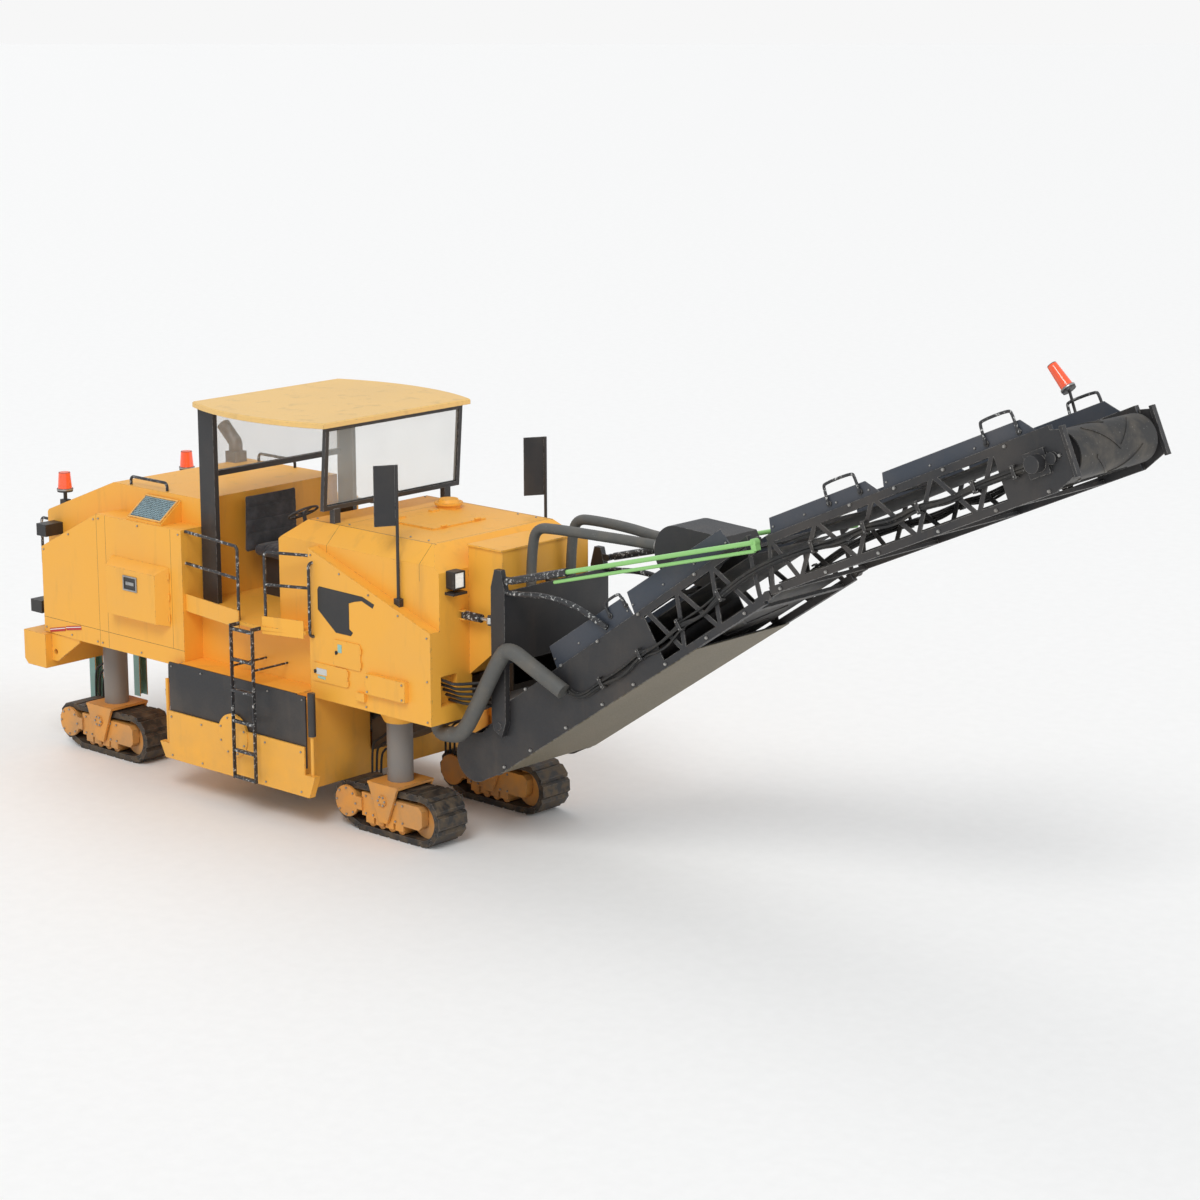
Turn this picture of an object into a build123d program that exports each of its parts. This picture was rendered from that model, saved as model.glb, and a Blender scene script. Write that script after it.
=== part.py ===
from build123d import *
import os
from math import cos, radians, sin

os.makedirs("parts", exist_ok=True)

# Cold planer on four tracks with a two-section discharge conveyor at its front.
# Millimetres. +X is forward, +Y is the machine's left, +Z is up, and Z 0 is the ground.

# Clearances
SEAT = 0.3  # pieces of different bodies that carry each other
FIT = 0.5  # a turning tube in its collar
RUN = 8  # moving sheet metal beside fixed sheet metal

# Front body
HOOD_FRONT = -334
HOOD_REAR = -2781
HOOD_HALF = 1070
HOOD_TOP = 3261
HOOD_TOP_HALF = 880
HOOD_SHOULDER = 3076
POD_HALF = 1209
POD_INNER = 610
POD_REAR = -2165
POD_BOTTOM = 1427
POD_LOW = 2412
POD_HIGH = 3052
POD_SKIN = 22
BOX_FRONT = 157
BOX_HALF = 640
BOX_LID_HALF = 662
BOX_LID = 14

# Middle
FLOOR_TOP = 2150
FLOOR_PLATE = 40
WALL_HALF = 1060
MIDDLE_FRONT = -2165
MIDDLE_REAR = -4105
LANDING_HALF = 1430

# Rear body
REAR_FRONT = -4105
REAR_END = -6895
REAR_HALF = 1000
REAR_TOP = 3283
REAR_POD_HALF = 1323
REAR_POD_END = -6612
REAR_BOTTOM = 1430
REAR_WALL = 30

# Cutter
HOUSING_FRONT = -2100
HOUSING_REAR = -4266
HOUSING_HALF = 1400
HOUSING_TOP = 1491
HOUSING_BOTTOM = 430
PLATE_FRONT = -2028
PLATE_REAR = -4266
PLATE_BOTTOM = 390
PLATE_TOP = 941
PLATE_THICK = 20
DRUM_X = -3172
DRUM_Z = 855
DRUM_CORE_R = 355
DRUM_TIP_R = 450
DRUM_LENGTH = 2000

# Track units
TRACK_X = {"front": -1245, "rear": -6010}
TRACK_Y = 790
TUBE_R = 140
COLLAR_R = 209
FORK_TOP = 600
SHOE_WIDTH = 420
SHOE_COUNT = 22
SHOE_HIGH = 45
BAND_THICK = 24

# Discharge conveyor
SLEW_X = 218
LIFT_X = 218
LIFT_Z = 1450
BELT_HALF = 640
CONV_HALF = 708
LOW_FOOT = (122, 892)
LOW_SLOPE = 33.74
UP_FOOT = (3642, 3324)
UP_SLOPE = 23.86


def side(y=0):
    """Plane of a side profile: drawn in X and Z, extruded towards the machine's right."""
    return Plane.XZ.offset(y)


def save(builder, name):
    builder.part.label = name
    export_step(builder.part, f"parts/{name}.step")


def tube(points, radius, bend=50):
    """A round bar or hose along straight runs with rounded corners."""
    with BuildPart() as bar_piece:
        with BuildLine() as route:
            if len(points) > 2:
                FilletPolyline(*points, radius=bend)
            else:
                Line(*points)
        with BuildSketch(Plane(origin=route.line @ 0, z_dir=route.line % 0)):
            Circle(radius)
        sweep()
    return bar_piece.part


# Front body: hood with bevelled shoulders, a pod on each side and the box ahead of it
hood_profile = [
    (HOOD_FRONT, 1925),
    (HOOD_FRONT, 3019),
    (-582, HOOD_TOP),
    (-2509, HOOD_TOP),
    (HOOD_REAR, 3044),
    (HOOD_REAR, FLOOR_TOP),
    (POD_REAR, FLOOR_TOP),
    (POD_REAR, POD_BOTTOM),
    (-1300, POD_BOTTOM),
]
pod_profile = [
    (HOOD_FRONT, POD_BOTTOM),
    (HOOD_FRONT, POD_LOW),
    (POD_REAR, POD_HIGH),
    (POD_REAR, POD_BOTTOM),
]
box_profile = [
    (HOOD_FRONT, 1885),
    (HOOD_FRONT, HOOD_TOP - BOX_LID),
    (BOX_FRONT, HOOD_TOP - BOX_LID),
    (BOX_FRONT, 2278),
]
shoulder_cut = [
    (HOOD_TOP_HALF, HOOD_TOP),
    (HOOD_HALF, HOOD_SHOULDER),
    (HOOD_HALF + 50, HOOD_SHOULDER),
    (HOOD_HALF + 50, HOOD_TOP + 50),
    (HOOD_TOP_HALF, HOOD_TOP + 50),
]
HOSE_RECESS = (830, 1060, 1610, 1930)  # inner, outer, low, high

with BuildPart() as front_body:
    with BuildSketch(side()):
        Polygon(*hood_profile, align=None)
    extrude(amount=HOOD_HALF, both=True)
    for hand in (1, -1):
        with BuildSketch(Plane.YZ.offset(HOOD_REAR - 20)):
            Polygon(*[(hand * y, z) for y, z in shoulder_cut], align=None)
        extrude(amount=HOOD_FRONT - HOOD_REAR + 40, mode=Mode.SUBTRACT)
    with BuildSketch(side(-POD_HALF + POD_SKIN)):
        Polygon(*pod_profile, align=None)
    extrude(amount=POD_HALF - POD_SKIN - POD_INNER)
    with BuildSketch(side(POD_INNER)):
        Polygon(*pod_profile, align=None)
    extrude(amount=POD_HALF - POD_SKIN - POD_INNER)
    with BuildSketch(side()):
        Polygon(*box_profile, align=None)
    extrude(amount=BOX_HALF, both=True)
    for hand in (1, -1):
        recess_mid = hand * (HOSE_RECESS[0] + HOSE_RECESS[1]) / 2
        with BuildSketch(Plane.YZ.offset(HOOD_FRONT - 90)):
            with Locations((recess_mid, (HOSE_RECESS[2] + HOSE_RECESS[3]) / 2)):
                Rectangle(HOSE_RECESS[1] - HOSE_RECESS[0], HOSE_RECESS[3] - HOSE_RECESS[2])
        extrude(amount=100, mode=Mode.SUBTRACT)

# Side skins of the front pods with their fixed boxes
pod_boxes = [
    # rear x, front x, low z, high z, depth
    (-1255, -662, 1631, 1850, 60),
    (-1420, -1295, 1526, 1617, 40),
]
with BuildPart() as pod_skins:
    with BuildSketch(side(POD_HALF - POD_SKIN)):
        Polygon(*pod_profile, align=None)
    extrude(amount=POD_SKIN)
    for low_x, high_x, low_z, high_z, deep in pod_boxes:
        with BuildSketch(side(POD_HALF)):
            with Locations(((low_x + high_x) / 2, (low_z + high_z) / 2)):
                Rectangle(high_x - low_x, high_z - low_z)
        extrude(amount=deep)
    mirror(about=Plane.XZ)
save(pod_skins, "pod_skins")

# Hatch in the deck, its hinges at the front, and the cap of the water filler beside it
HATCH_X = (-1790, -1090)
HATCH_HALF = 395
HATCH_THICK = 18
HINGE_R = 12

with BuildPart() as deck_hatch:
    with BuildSketch(Plane.XY.offset(HOOD_TOP + SEAT)):
        with Locations(((HATCH_X[0] + HATCH_X[1]) / 2, 0)):
            RectangleRounded(HATCH_X[1] - HATCH_X[0], 2 * HATCH_HALF, 30)
    extrude(amount=HATCH_THICK)
    for y in (-250, 250):
        with BuildSketch(side(y - 40)):
            with Locations((HATCH_X[1] + 4, HOOD_TOP + HATCH_THICK + HINGE_R)):
                Circle(HINGE_R)
        extrude(amount=80)
    for y in (-250, 250):
        with BuildSketch(Plane.XY.offset(HOOD_TOP + SEAT)):
            with Locations((HATCH_X[0] + 40, y)):
                Rectangle(60, 110)
        extrude(amount=HATCH_THICK + 22)
save(deck_hatch, "deck_hatch")

with BuildPart() as deck_fittings:
    # filler cap
    with BuildSketch(Plane.XY.offset(HOOD_TOP)):
        with Locations((-1842, 566)):
            Circle(130)
    extrude(amount=40)
    with BuildSketch(Plane.XY.offset(HOOD_TOP + 40)):
        with Locations((-1842, 566)):
            Circle(155)
    extrude(amount=26, taper=0)
    with BuildSketch(Plane.XY.offset(HOOD_TOP + 66)):
        with Locations((-1842, 566)):
            Circle(120)
    extrude(amount=34, taper=25)
    # lid of the box at the front
    with BuildSketch(Plane.XY.offset(HOOD_TOP - BOX_LID)):
        with Locations(((BOX_FRONT + 10 + HOOD_FRONT) / 2, 0)):
            Rectangle(BOX_FRONT + 10 - HOOD_FRONT, 2 * BOX_LID_HALF)
    extrude(amount=BOX_LID + 6)
save(deck_fittings, "deck_fittings")

# Front lamps on a bracket each
with BuildPart() as work_lamps:
    for hand in (1, -1):
        with BuildSketch(Plane.YZ.offset(HOOD_FRONT)):
            with Locations((hand * 890, 2940)):
                RectangleRounded(160, 190, 16)
        extrude(amount=105)
        with BuildSketch(Plane.YZ.offset(HOOD_FRONT)):
            with Locations((hand * 890, 2800)):
                Rectangle(200, 26)
        extrude(amount=130)

# Hinged doors and fixed boxes on the pod skins
DOOR_THICK = 12
KNUCKLE_OUT = 5  # of its middle in front of the door's edge
KNUCKLE_HIGH = HINGE_R + 1  # of its middle over the door's back
door_table = [
    # name, rear x, front x, low z, high z
    ("upper", -1785, -1370, 1838, 2126),
    ("lower", -2112, -1572, 1624, 1826),
]
for hand_name, hand in (("left", 1), ("right", -1)):
    for name, rear, front, low, high in door_table:
        with BuildPart() as door:
            base = POD_HALF + SEAT
            with BuildSketch(side(-base if hand > 0 else base)):
                with Locations(((rear + front) / 2, (low + high) / 2)):
                    RectangleRounded(front - rear, high - low, 24)
            extrude(amount=-DOOR_THICK if hand > 0 else DOOR_THICK)
            for share in (0.25, 0.75):
                with BuildSketch(Plane.XY.offset(low + share * (high - low) - 30)):
                    with Locations((front + KNUCKLE_OUT, hand * (base + KNUCKLE_HIGH))):
                        Circle(HINGE_R)
                extrude(amount=60)
        save(door, f"pod_door_{name}_{hand_name}")

# Middle frame under the platform, and the platform itself
with BuildPart() as middle_frame:
    with BuildSketch(side()):
        with Locations(((MIDDLE_FRONT + MIDDLE_REAR) / 2, (HOUSING_TOP + FLOOR_TOP - FLOOR_PLATE) / 2)):
            Rectangle(MIDDLE_FRONT - MIDDLE_REAR, FLOOR_TOP - FLOOR_PLATE - HOUSING_TOP)
    extrude(amount=WALL_HALF, both=True)
save(middle_frame, "middle_frame")

TOE_LOW = 2070
TOE_HIGH = 2264
TOE_THICK = 12
LANDING = (-3050, -2690)
rear_toe = [(MIDDLE_REAR + 2, 1278), (LANDING[0], LANDING_HALF - 6)]
front_toe = [(LANDING[1], 1412), (MIDDLE_FRONT - 15, 1275)]
floor_outline = [
    (MIDDLE_FRONT, -1268),
    (LANDING[1], -LANDING_HALF),
    (LANDING[0], -LANDING_HALF),
    (MIDDLE_REAR, -1272),
    (MIDDLE_REAR, 1272),
    (LANDING[0], LANDING_HALF),
    (LANDING[1], LANDING_HALF),
    (MIDDLE_FRONT, 1268),
]
with BuildPart() as platform:
    with BuildSketch(Plane.XY.offset(FLOOR_TOP - FLOOR_PLATE)):
        Polygon(*floor_outline, align=None)
    extrude(amount=FLOOR_PLATE)
    for ends in (rear_toe, front_toe):
        with BuildSketch(Plane.XY.offset(TOE_LOW)):
            with BuildLine():
                Polyline(*ends)
            trace(line_width=TOE_THICK)
            with BuildLine():
                Polyline(*[(x, -y) for x, y in ends])
            trace(line_width=TOE_THICK)
        extrude(amount=TOE_HIGH - TOE_LOW)
save(platform, "platform")

# Rear body: a shell over the engine, with a pod on each side
rear_profile = [
    (REAR_FRONT, REAR_BOTTOM),
    (REAR_FRONT, REAR_TOP),
    (-5658, REAR_TOP - 10),
    (-6870, 2801),
    (REAR_END, 2770),
    (REAR_END, REAR_BOTTOM),
]
rear_inside = [
    (REAR_FRONT - REAR_WALL, REAR_BOTTOM + REAR_WALL),
    (REAR_FRONT - REAR_WALL, REAR_TOP - REAR_WALL),
    (-5648, REAR_TOP - 10 - REAR_WALL),
    (-6850, 2775),
    (REAR_END + REAR_WALL, 2750),
    (REAR_END + REAR_WALL, REAR_BOTTOM + REAR_WALL),
]
rear_pod_profile = [
    (REAR_FRONT, REAR_BOTTOM),
    (REAR_FRONT, 2980),
    (-5584, 2966),
    (REAR_POD_END, 2447),
    (REAR_POD_END, 1443),
    (-6000, REAR_BOTTOM),
]
with BuildPart() as rear_hood:
    with BuildSketch(side()):
        Polygon(*rear_profile, align=None)
    extrude(amount=REAR_HALF, both=True)
    with BuildSketch(side()):
        Polygon(*rear_inside, align=None)
    extrude(amount=REAR_HALF - REAR_WALL, both=True, mode=Mode.SUBTRACT)

with BuildPart() as rear_pods:
    with BuildSketch(side(REAR_HALF)):
        Polygon(*rear_pod_profile, align=None)
    extrude(amount=REAR_POD_HALF - REAR_HALF)
    # air intake on the pod's top
    with BuildSketch(Plane.YZ.offset(-5070)):
        Polygon((-REAR_HALF, 2960), (-REAR_HALF, 3220), (-1300, 2990), (-1300, 2960), align=None)
    extrude(amount=600)
    mirror(about=Plane.XZ)
save(rear_pods, "rear_pods")

with BuildPart() as engine_block:
    with BuildSketch(Plane.XY.offset(REAR_BOTTOM + REAR_WALL)):
        with Locations((-5350, 0)):
            Rectangle(1700, 1000)
    extrude(amount=1100)
save(engine_block, "engine_block")

# Box-shaped service doors on the rear pods
SERVICE = (-5326, -4327, 1860, 2532)
for hand_name, hand in (("left", 1), ("right", -1)):
    with BuildPart() as service_door:
        base = REAR_POD_HALF + SEAT
        deep = 150
        with BuildSketch(side(-hand * base)):
            with Locations(((SERVICE[0] + SERVICE[1]) / 2, (SERVICE[2] + SERVICE[3]) / 2)):
                Rectangle(SERVICE[1] - SERVICE[0], SERVICE[3] - SERVICE[2])
        with BuildSketch(side(-hand * (base + deep))):
            with Locations(((SERVICE[0] + SERVICE[1]) / 2, (SERVICE[2] + SERVICE[3]) / 2 - 20)):
                Rectangle(SERVICE[1] - SERVICE[0] - 150, SERVICE[3] - SERVICE[2] - 120)
        loft()
        for share in (0.15, 0.5, 0.85):
            with BuildSketch(Plane.XY.offset(SERVICE[2] + share * (SERVICE[3] - SERVICE[2]) - 35)):
                with Locations((SERVICE[1], hand * (base + KNUCKLE_HIGH))):
                    Circle(HINGE_R)
            extrude(amount=70)
    save(service_door, f"service_door_{hand_name}")


# Cutter housing with the open chamber that the drum turns in
CHAMBER_R = 500
CHAMBER_HALF = 1100
MOUTH = (420, 690, 1150)  # half width, low, high of the opening to the inner conveyor
housing_profile = [
    (MIDDLE_FRONT, HOUSING_TOP),
    (MIDDLE_REAR, HOUSING_TOP),
    (MIDDLE_REAR, POD_BOTTOM),
    (HOUSING_REAR, POD_BOTTOM),
    (HOUSING_REAR, HOUSING_BOTTOM),
    (HOUSING_FRONT, HOUSING_BOTTOM),
    (HOUSING_FRONT, POD_BOTTOM),
    (MIDDLE_FRONT, POD_BOTTOM),
]
with BuildPart() as cutter_housing:
    with BuildSketch(side()):
        Polygon(*housing_profile, align=None)
    extrude(amount=HOUSING_HALF, both=True)
    with BuildSketch(side()):
        with Locations((DRUM_X, DRUM_Z)):
            Circle(CHAMBER_R)
        with Locations((DRUM_X, DRUM_Z - 300)):
            Rectangle(2 * CHAMBER_R, 600)
    extrude(amount=CHAMBER_HALF, both=True, mode=Mode.SUBTRACT)
    with BuildSketch(Plane.YZ.offset(DRUM_X)):
        with Locations((0, (MOUTH[1] + MOUTH[2]) / 2)):
            Rectangle(2 * MOUTH[0], MOUTH[2] - MOUTH[1])
    extrude(amount=HOUSING_FRONT - DRUM_X + 10, mode=Mode.SUBTRACT)
    for hand in (1, -1):
        with BuildSketch(side(-hand * HOUSING_HALF)):
            with Locations(((PLATE_FRONT + PLATE_REAR) / 2, (HOUSING_TOP + 700) / 2)):
                Rectangle(PLATE_FRONT - PLATE_REAR, HOUSING_TOP - 700)
        extrude(amount=-hand * PLATE_THICK)
        with BuildSketch(Plane.XY.offset(HOUSING_TOP)):
            with Locations(((MIDDLE_FRONT + MIDDLE_REAR) / 2, hand * (WALL_HALF + HOUSING_HALF + PLATE_THICK) / 2)):
                Rectangle(MIDDLE_FRONT - MIDDLE_REAR - 10, HOUSING_HALF + PLATE_THICK - WALL_HALF)
        extrude(amount=8)
save(cutter_housing, "cutter_housing")

# Milling drum: a core with end plates and tool holders that wind towards the middle
DRUM_END_R = 410
TOOL_ROWS = 20
TOOL_TURN = 55
HOLDER_HIGH = DRUM_TIP_R - DRUM_CORE_R - 42

with BuildPart() as tool:
    with BuildSketch(Plane.XY.offset(-12)):
        Rectangle(86, 40)
    with BuildSketch(Plane(origin=(26, 0, HOLDER_HIGH))):
        Rectangle(34, 30)
    loft()
    point = Plane(origin=(20, 0, HOLDER_HIGH - 10), z_dir=(0.55, 0, 1))
    with BuildSketch(point):
        RegularPolygon(13, 5)
    with BuildSketch(point.offset(48)):
        RegularPolygon(4, 5)
    loft()

tool_places = []
row_pitch = DRUM_LENGTH / (2 * (TOOL_ROWS + 1))
for hand in (1, -1):
    for row in range(TOOL_ROWS):
        across = hand * (row + 0.6) * row_pitch
        for start in (0, 180):
            turn = radians(start + row * TOOL_TURN)
            out = Vector(cos(turn), 0, sin(turn))
            ahead = Vector(-sin(turn), 0, cos(turn))
            place = Vector(DRUM_X, across, DRUM_Z) + out * DRUM_CORE_R
            tool_places.append(Plane(origin=place, x_dir=ahead, z_dir=out))

with BuildPart() as milling_drum:
    with BuildSketch(side()):
        with Locations((DRUM_X, DRUM_Z)):
            Circle(DRUM_CORE_R)
    extrude(amount=DRUM_LENGTH / 2, both=True)
    for y in (-DRUM_LENGTH / 2, DRUM_LENGTH / 2 - 30):
        with BuildSketch(Plane.XZ.offset(y)):
            with Locations((DRUM_X, DRUM_Z)):
                Circle(DRUM_END_R)
        extrude(amount=30)
    with BuildSketch(side()):
        with Locations((DRUM_X, DRUM_Z)):
            Circle(90)
    extrude(amount=CHAMBER_HALF - SEAT, both=True)
    with Locations(*tool_places):
        add(tool.part)
save(milling_drum, "milling_drum")

# Side plates that slide up and down, with the rods that lift them
ROD_R = 20
BARREL_R = 42
BORE_R = ROD_R + 0.3
LIFT_LINE = 1400
PLATE_FACE = HOUSING_HALF + PLATE_THICK + RUN
foot_table = [
    # rod x, foot rear x, foot front x, foot top z, barrel low z, barrel high z
    (-1948, PLATE_FRONT, -1866, 635, 1066, 1540),
    (-4328, -4426, PLATE_REAR, 563, 987, 1540),
]
for hand_name, hand in (("left", 1), ("right", -1)):
    with BuildPart() as side_plate:
        with BuildSketch(side(-hand * PLATE_FACE)):
            with Locations(((PLATE_FRONT + PLATE_REAR) / 2, (PLATE_BOTTOM + PLATE_TOP) / 2)):
                Rectangle(PLATE_FRONT - PLATE_REAR, PLATE_TOP - PLATE_BOTTOM)
        extrude(amount=-hand * PLATE_THICK)
        with BuildSketch(side(-hand * PLATE_FACE)):
            with Locations((DRUM_X, DRUM_Z)):
                Circle(242)
        extrude(amount=-hand * (PLATE_THICK + 10))
        for rod_x, rear, front, top, low, high in foot_table:
            with BuildSketch(side(-hand * (LIFT_LINE - 32))):
                with BuildLine():
                    if rear == PLATE_FRONT:
                        Polyline((rear, PLATE_BOTTOM), (rear, top), (front, top), (rear + 70, PLATE_BOTTOM), close=True)
                    else:
                        Polyline((front, PLATE_BOTTOM), (front, top), (rear, top), (front - 70, PLATE_BOTTOM), close=True)
                make_face()
            extrude(amount=-hand * (PLATE_FACE + PLATE_THICK - LIFT_LINE + 32))
        for rod_x, rear, front, top, low, high in foot_table:
            with BuildSketch(Plane.XY.offset(top - 10)):
                with Locations((rod_x, hand * LIFT_LINE)):
                    Circle(ROD_R)
            extrude(amount=low + 310 - top)
    save(side_plate, f"side_plate_{hand_name}")

with BuildPart() as plate_cylinders:
    for rod_x, rear, front, top, low, high in foot_table:
        with BuildSketch(Plane.XY.offset(low)):
            with Locations((rod_x, -LIFT_LINE)):
                Circle(BARREL_R)
        extrude(amount=high - low)
        with BuildSketch(Plane.XY.offset(low - 1)):
            with Locations((rod_x, -LIFT_LINE)):
                Circle(BORE_R)
        extrude(amount=440, mode=Mode.SUBTRACT)
        ledge = HOUSING_TOP + 8
        inward = -1 if rear == PLATE_FRONT else 1
        edge = PLATE_FRONT if rear == PLATE_FRONT else HOUSING_REAR
        with BuildSketch(side(LIFT_LINE - BARREL_R - 28)):
            with BuildLine():
                Polyline(
                    (rod_x - inward * 54, 1405),
                    (rod_x - inward * 54, 1577),
                    (rod_x + inward * 186, 1577),
                    (rod_x + inward * 186, ledge),
                    (edge - inward * 6, ledge),
                    (edge - inward * 6, 1405),
                    close=True,
                )
            make_face()
        extrude(amount=28)
        with BuildSketch(side(LIFT_LINE - BARREL_R - 10)):
            with Locations((rod_x, 1515)):
                Circle(26)
        extrude(amount=BARREL_R + 10)
    mirror(about=Plane.XZ)
save(plate_cylinders, "plate_cylinders")

# Track units: one closed loop of shoes on wheels, a carrier with its fork, and the leg tube
FRONT_WHEEL = (510, 284, 277)  # x from the leg, height, radius to the shoes' faces
REAR_WHEEL = (-583, 300, 217)
FIRST_ROLLER = (330, 120, 120)
LAST_ROLLER = (-400, 120, 120)
BEAM_HALF = 225
BEAM_LOW = 183
BEAM_HIGH = 440
FORK_HALF = 270
FORK_PLATE = 30
PIVOT_Z = 420


def loop_face(leg_x, inward):
    """The outline round the three wheels, this far inside the shoes' faces."""
    with BuildSketch() as outline:
        for x, z, radius in (FRONT_WHEEL, REAR_WHEEL, FIRST_ROLLER, LAST_ROLLER):
            with Locations((leg_x + x, z)):
                Circle(radius - inward)
        make_hull()
    return outline.sketch


def shoe_outline(middle, along, out):
    """A shoe seen from the side, as points in X and Z."""
    steps = ((-80, -3), (-84, 14), (-58, SHOE_HIGH), (58, SHOE_HIGH), (84, 14), (80, -3))
    return [tuple(middle + along * a + out * b)[:2] for a, b in steps]


def track_loop(name, leg_x, leg_y):
    band = loop_face(leg_x, SHOE_HIGH)
    inner = loop_face(leg_x, SHOE_HIGH + BAND_THICK)
    rim = band.face().outer_wire()
    face_plane = side(-leg_y - SHOE_WIDTH / 2)
    with BuildPart() as loop:
        with BuildSketch(face_plane):
            add(band)
            add(inner, mode=Mode.SUBTRACT)
            for step in range(SHOE_COUNT):
                share = (step + 0.5) / SHOE_COUNT
                middle = rim.position_at(share)
                along = rim.tangent_at(share)
                out = Vector(along.Y, -along.X)
                centre = Vector(leg_x, 250)
                if out.dot(middle - centre) < 0:
                    out = out * -1
                Polygon(*shoe_outline(middle, along, out), align=None)
        extrude(amount=SHOE_WIDTH)
    save(loop, name)


def track_carrier(name, leg_x, leg_y, top):
    mid = side(-leg_y)
    with BuildPart() as carrier:
        # beam and its rounded cheeks beside the front wheel
        with BuildSketch(mid):
            with Locations((leg_x - 39, (BEAM_LOW + BEAM_HIGH) / 2)):
                Rectangle(658, BEAM_HIGH - BEAM_LOW)
        extrude(amount=BEAM_HALF, both=True)
        for low, high in ((-BEAM_HALF, -130), (130, BEAM_HALF)):
            with BuildSketch(mid.offset(low)):
                with BuildLine():
                    Line((leg_x + 280, BEAM_LOW), (leg_x + 500, BEAM_LOW))
                    Line((leg_x + 500, BEAM_LOW), (leg_x + 548, BEAM_LOW + 48))
                    Line((leg_x + 548, BEAM_LOW + 48), (leg_x + 548, BEAM_HIGH - 48))
                    Line((leg_x + 548, BEAM_HIGH - 48), (leg_x + 500, BEAM_HIGH))
                    Line((leg_x + 500, BEAM_HIGH), (leg_x + 280, BEAM_HIGH))
                    Line((leg_x + 280, BEAM_HIGH), (leg_x + 280, BEAM_LOW))
                make_face()
            extrude(amount=high - low)
        # front wheel on its axle
        with BuildSketch(mid):
            with Locations((leg_x + FRONT_WHEEL[0], FRONT_WHEEL[1])):
                Circle(FRONT_WHEEL[2] - SHOE_HIGH - BAND_THICK - SEAT)
        extrude(amount=118, both=True)
        with BuildSketch(mid):
            with Locations((leg_x + FRONT_WHEEL[0] - 10, FRONT_WHEEL[1] + 20)):
                Circle(48)
        extrude(amount=BEAM_HALF, both=True)
        # drive at the rear, its motor cover outside the shoes
        with BuildSketch(mid):
            with Locations((leg_x + REAR_WHEEL[0], REAR_WHEEL[1])):
                Circle(REAR_WHEEL[2] - SHOE_HIGH - BAND_THICK - SEAT)
        extrude(amount=BEAM_HALF, both=True)
        for low in (-BEAM_HALF - 24, SHOE_WIDTH / 2 + 8):
            with BuildSketch(mid.offset(low)):
                with Locations((leg_x + REAR_WHEEL[0], REAR_WHEEL[1])):
                    Circle(172)
            extrude(amount=31)
            with BuildSketch(mid.offset(low)):
                with Locations((leg_x - 470, 310)):
                    Rectangle(240, 140)
            extrude(amount=31)
        # rollers under the beam
        with BuildSketch(mid):
            for x in (-245, -95, 55, 205):
                with Locations((leg_x + x, 130)):
                    Circle(130 - SHOE_HIGH - BAND_THICK - SEAT)
        extrude(amount=190, both=True)
        with BuildSketch(mid):
            for x in (-245, -95, 55, 205):
                with Locations((leg_x + x, 150)):
                    Rectangle(120, 70)
        extrude(amount=BEAM_HALF, both=True)
        # fork over the shoes and its pivot pin
        with BuildSketch(Plane.XY.offset(FORK_TOP - FORK_PLATE)):
            with Locations((leg_x, leg_y)):
                Rectangle(460, 2 * FORK_HALF)
        extrude(amount=FORK_PLATE)
        for low in (-FORK_HALF, FORK_HALF - FORK_PLATE):
            with BuildSketch(mid.offset(low)):
                Polygon(
                    (leg_x - 230, FORK_TOP),
                    (leg_x + 230, FORK_TOP),
                    (leg_x + 62, 176),
                    (leg_x - 62, 176),
                    align=None,
                )
            extrude(amount=FORK_PLATE)
        for low in (-FORK_HALF - 14, BEAM_HALF - 1):
            with BuildSketch(mid.offset(low)):
                with Locations((leg_x, PIVOT_Z)):
                    Circle(63)
            extrude(amount=FORK_HALF + 15 - BEAM_HALF)
        # leg tube up to the machine's underside
        with BuildSketch(Plane.XY.offset(FORK_TOP)):
            with Locations((leg_x, leg_y)):
                Circle(TUBE_R)
        extrude(amount=top - SEAT - FORK_TOP)
    save(carrier, name)


leg_tops = {"front": POD_BOTTOM, "rear": REAR_BOTTOM}
for end, leg_x in TRACK_X.items():
    for hand_name, hand in (("left", 1), ("right", -1)):
        track_loop(f"track_{end}_{hand_name}", leg_x, hand * TRACK_Y)
        track_carrier(f"carrier_{end}_{hand_name}", leg_x, hand * TRACK_Y, leg_tops[end])

collars = {}
for end, leg_x in TRACK_X.items():
    top = leg_tops[end]
    flare = 180 if end == "front" else 40
    with BuildPart() as collar_pair:
        with BuildSketch(Plane(origin=(leg_x, -TRACK_Y, 0), x_dir=(1, 0, 0), z_dir=(0, -1, 0))):
            with BuildLine():
                Polyline(
                    (TUBE_R + FIT, top),
                    (COLLAR_R, top),
                    (COLLAR_R, top - flare / 2),
                    (TUBE_R + 22, top - flare),
                    (TUBE_R + FIT, top - flare),
                    close=True,
                )
            make_face()
        revolve(axis=Axis((leg_x, -TRACK_Y, 0), (0, 0, 1)))
        mirror(about=Plane.XZ)
    collars[end] = collar_pair.part

with BuildPart() as rear_whole:
    add(rear_hood.part)
    add(collars["rear"])
save(rear_whole, "rear_hood")

# Canopy: a roof sheet with bowed sides on two rear columns and two windscreen posts
CANOPY_TOP = 4380
CANOPY_THICK = 60
CANOPY_UNDER = CANOPY_TOP - CANOPY_THICK
CANOPY_REAR = (-4138, 1073)
CANOPY_BOW = (-3079, 1300)
CANOPY_FRONT = (-2008, 1085)
COLUMN_X = (-4082, -3834)
COLUMN_OUT = 1050
COLUMN_THICK = 60
SCREEN_TOP_X = -2080
SCREEN_LOW_X = -2150
SCREEN_LOW_Z = HOOD_TOP + 150
SCREEN_HALF = 985
POST = 50

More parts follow.
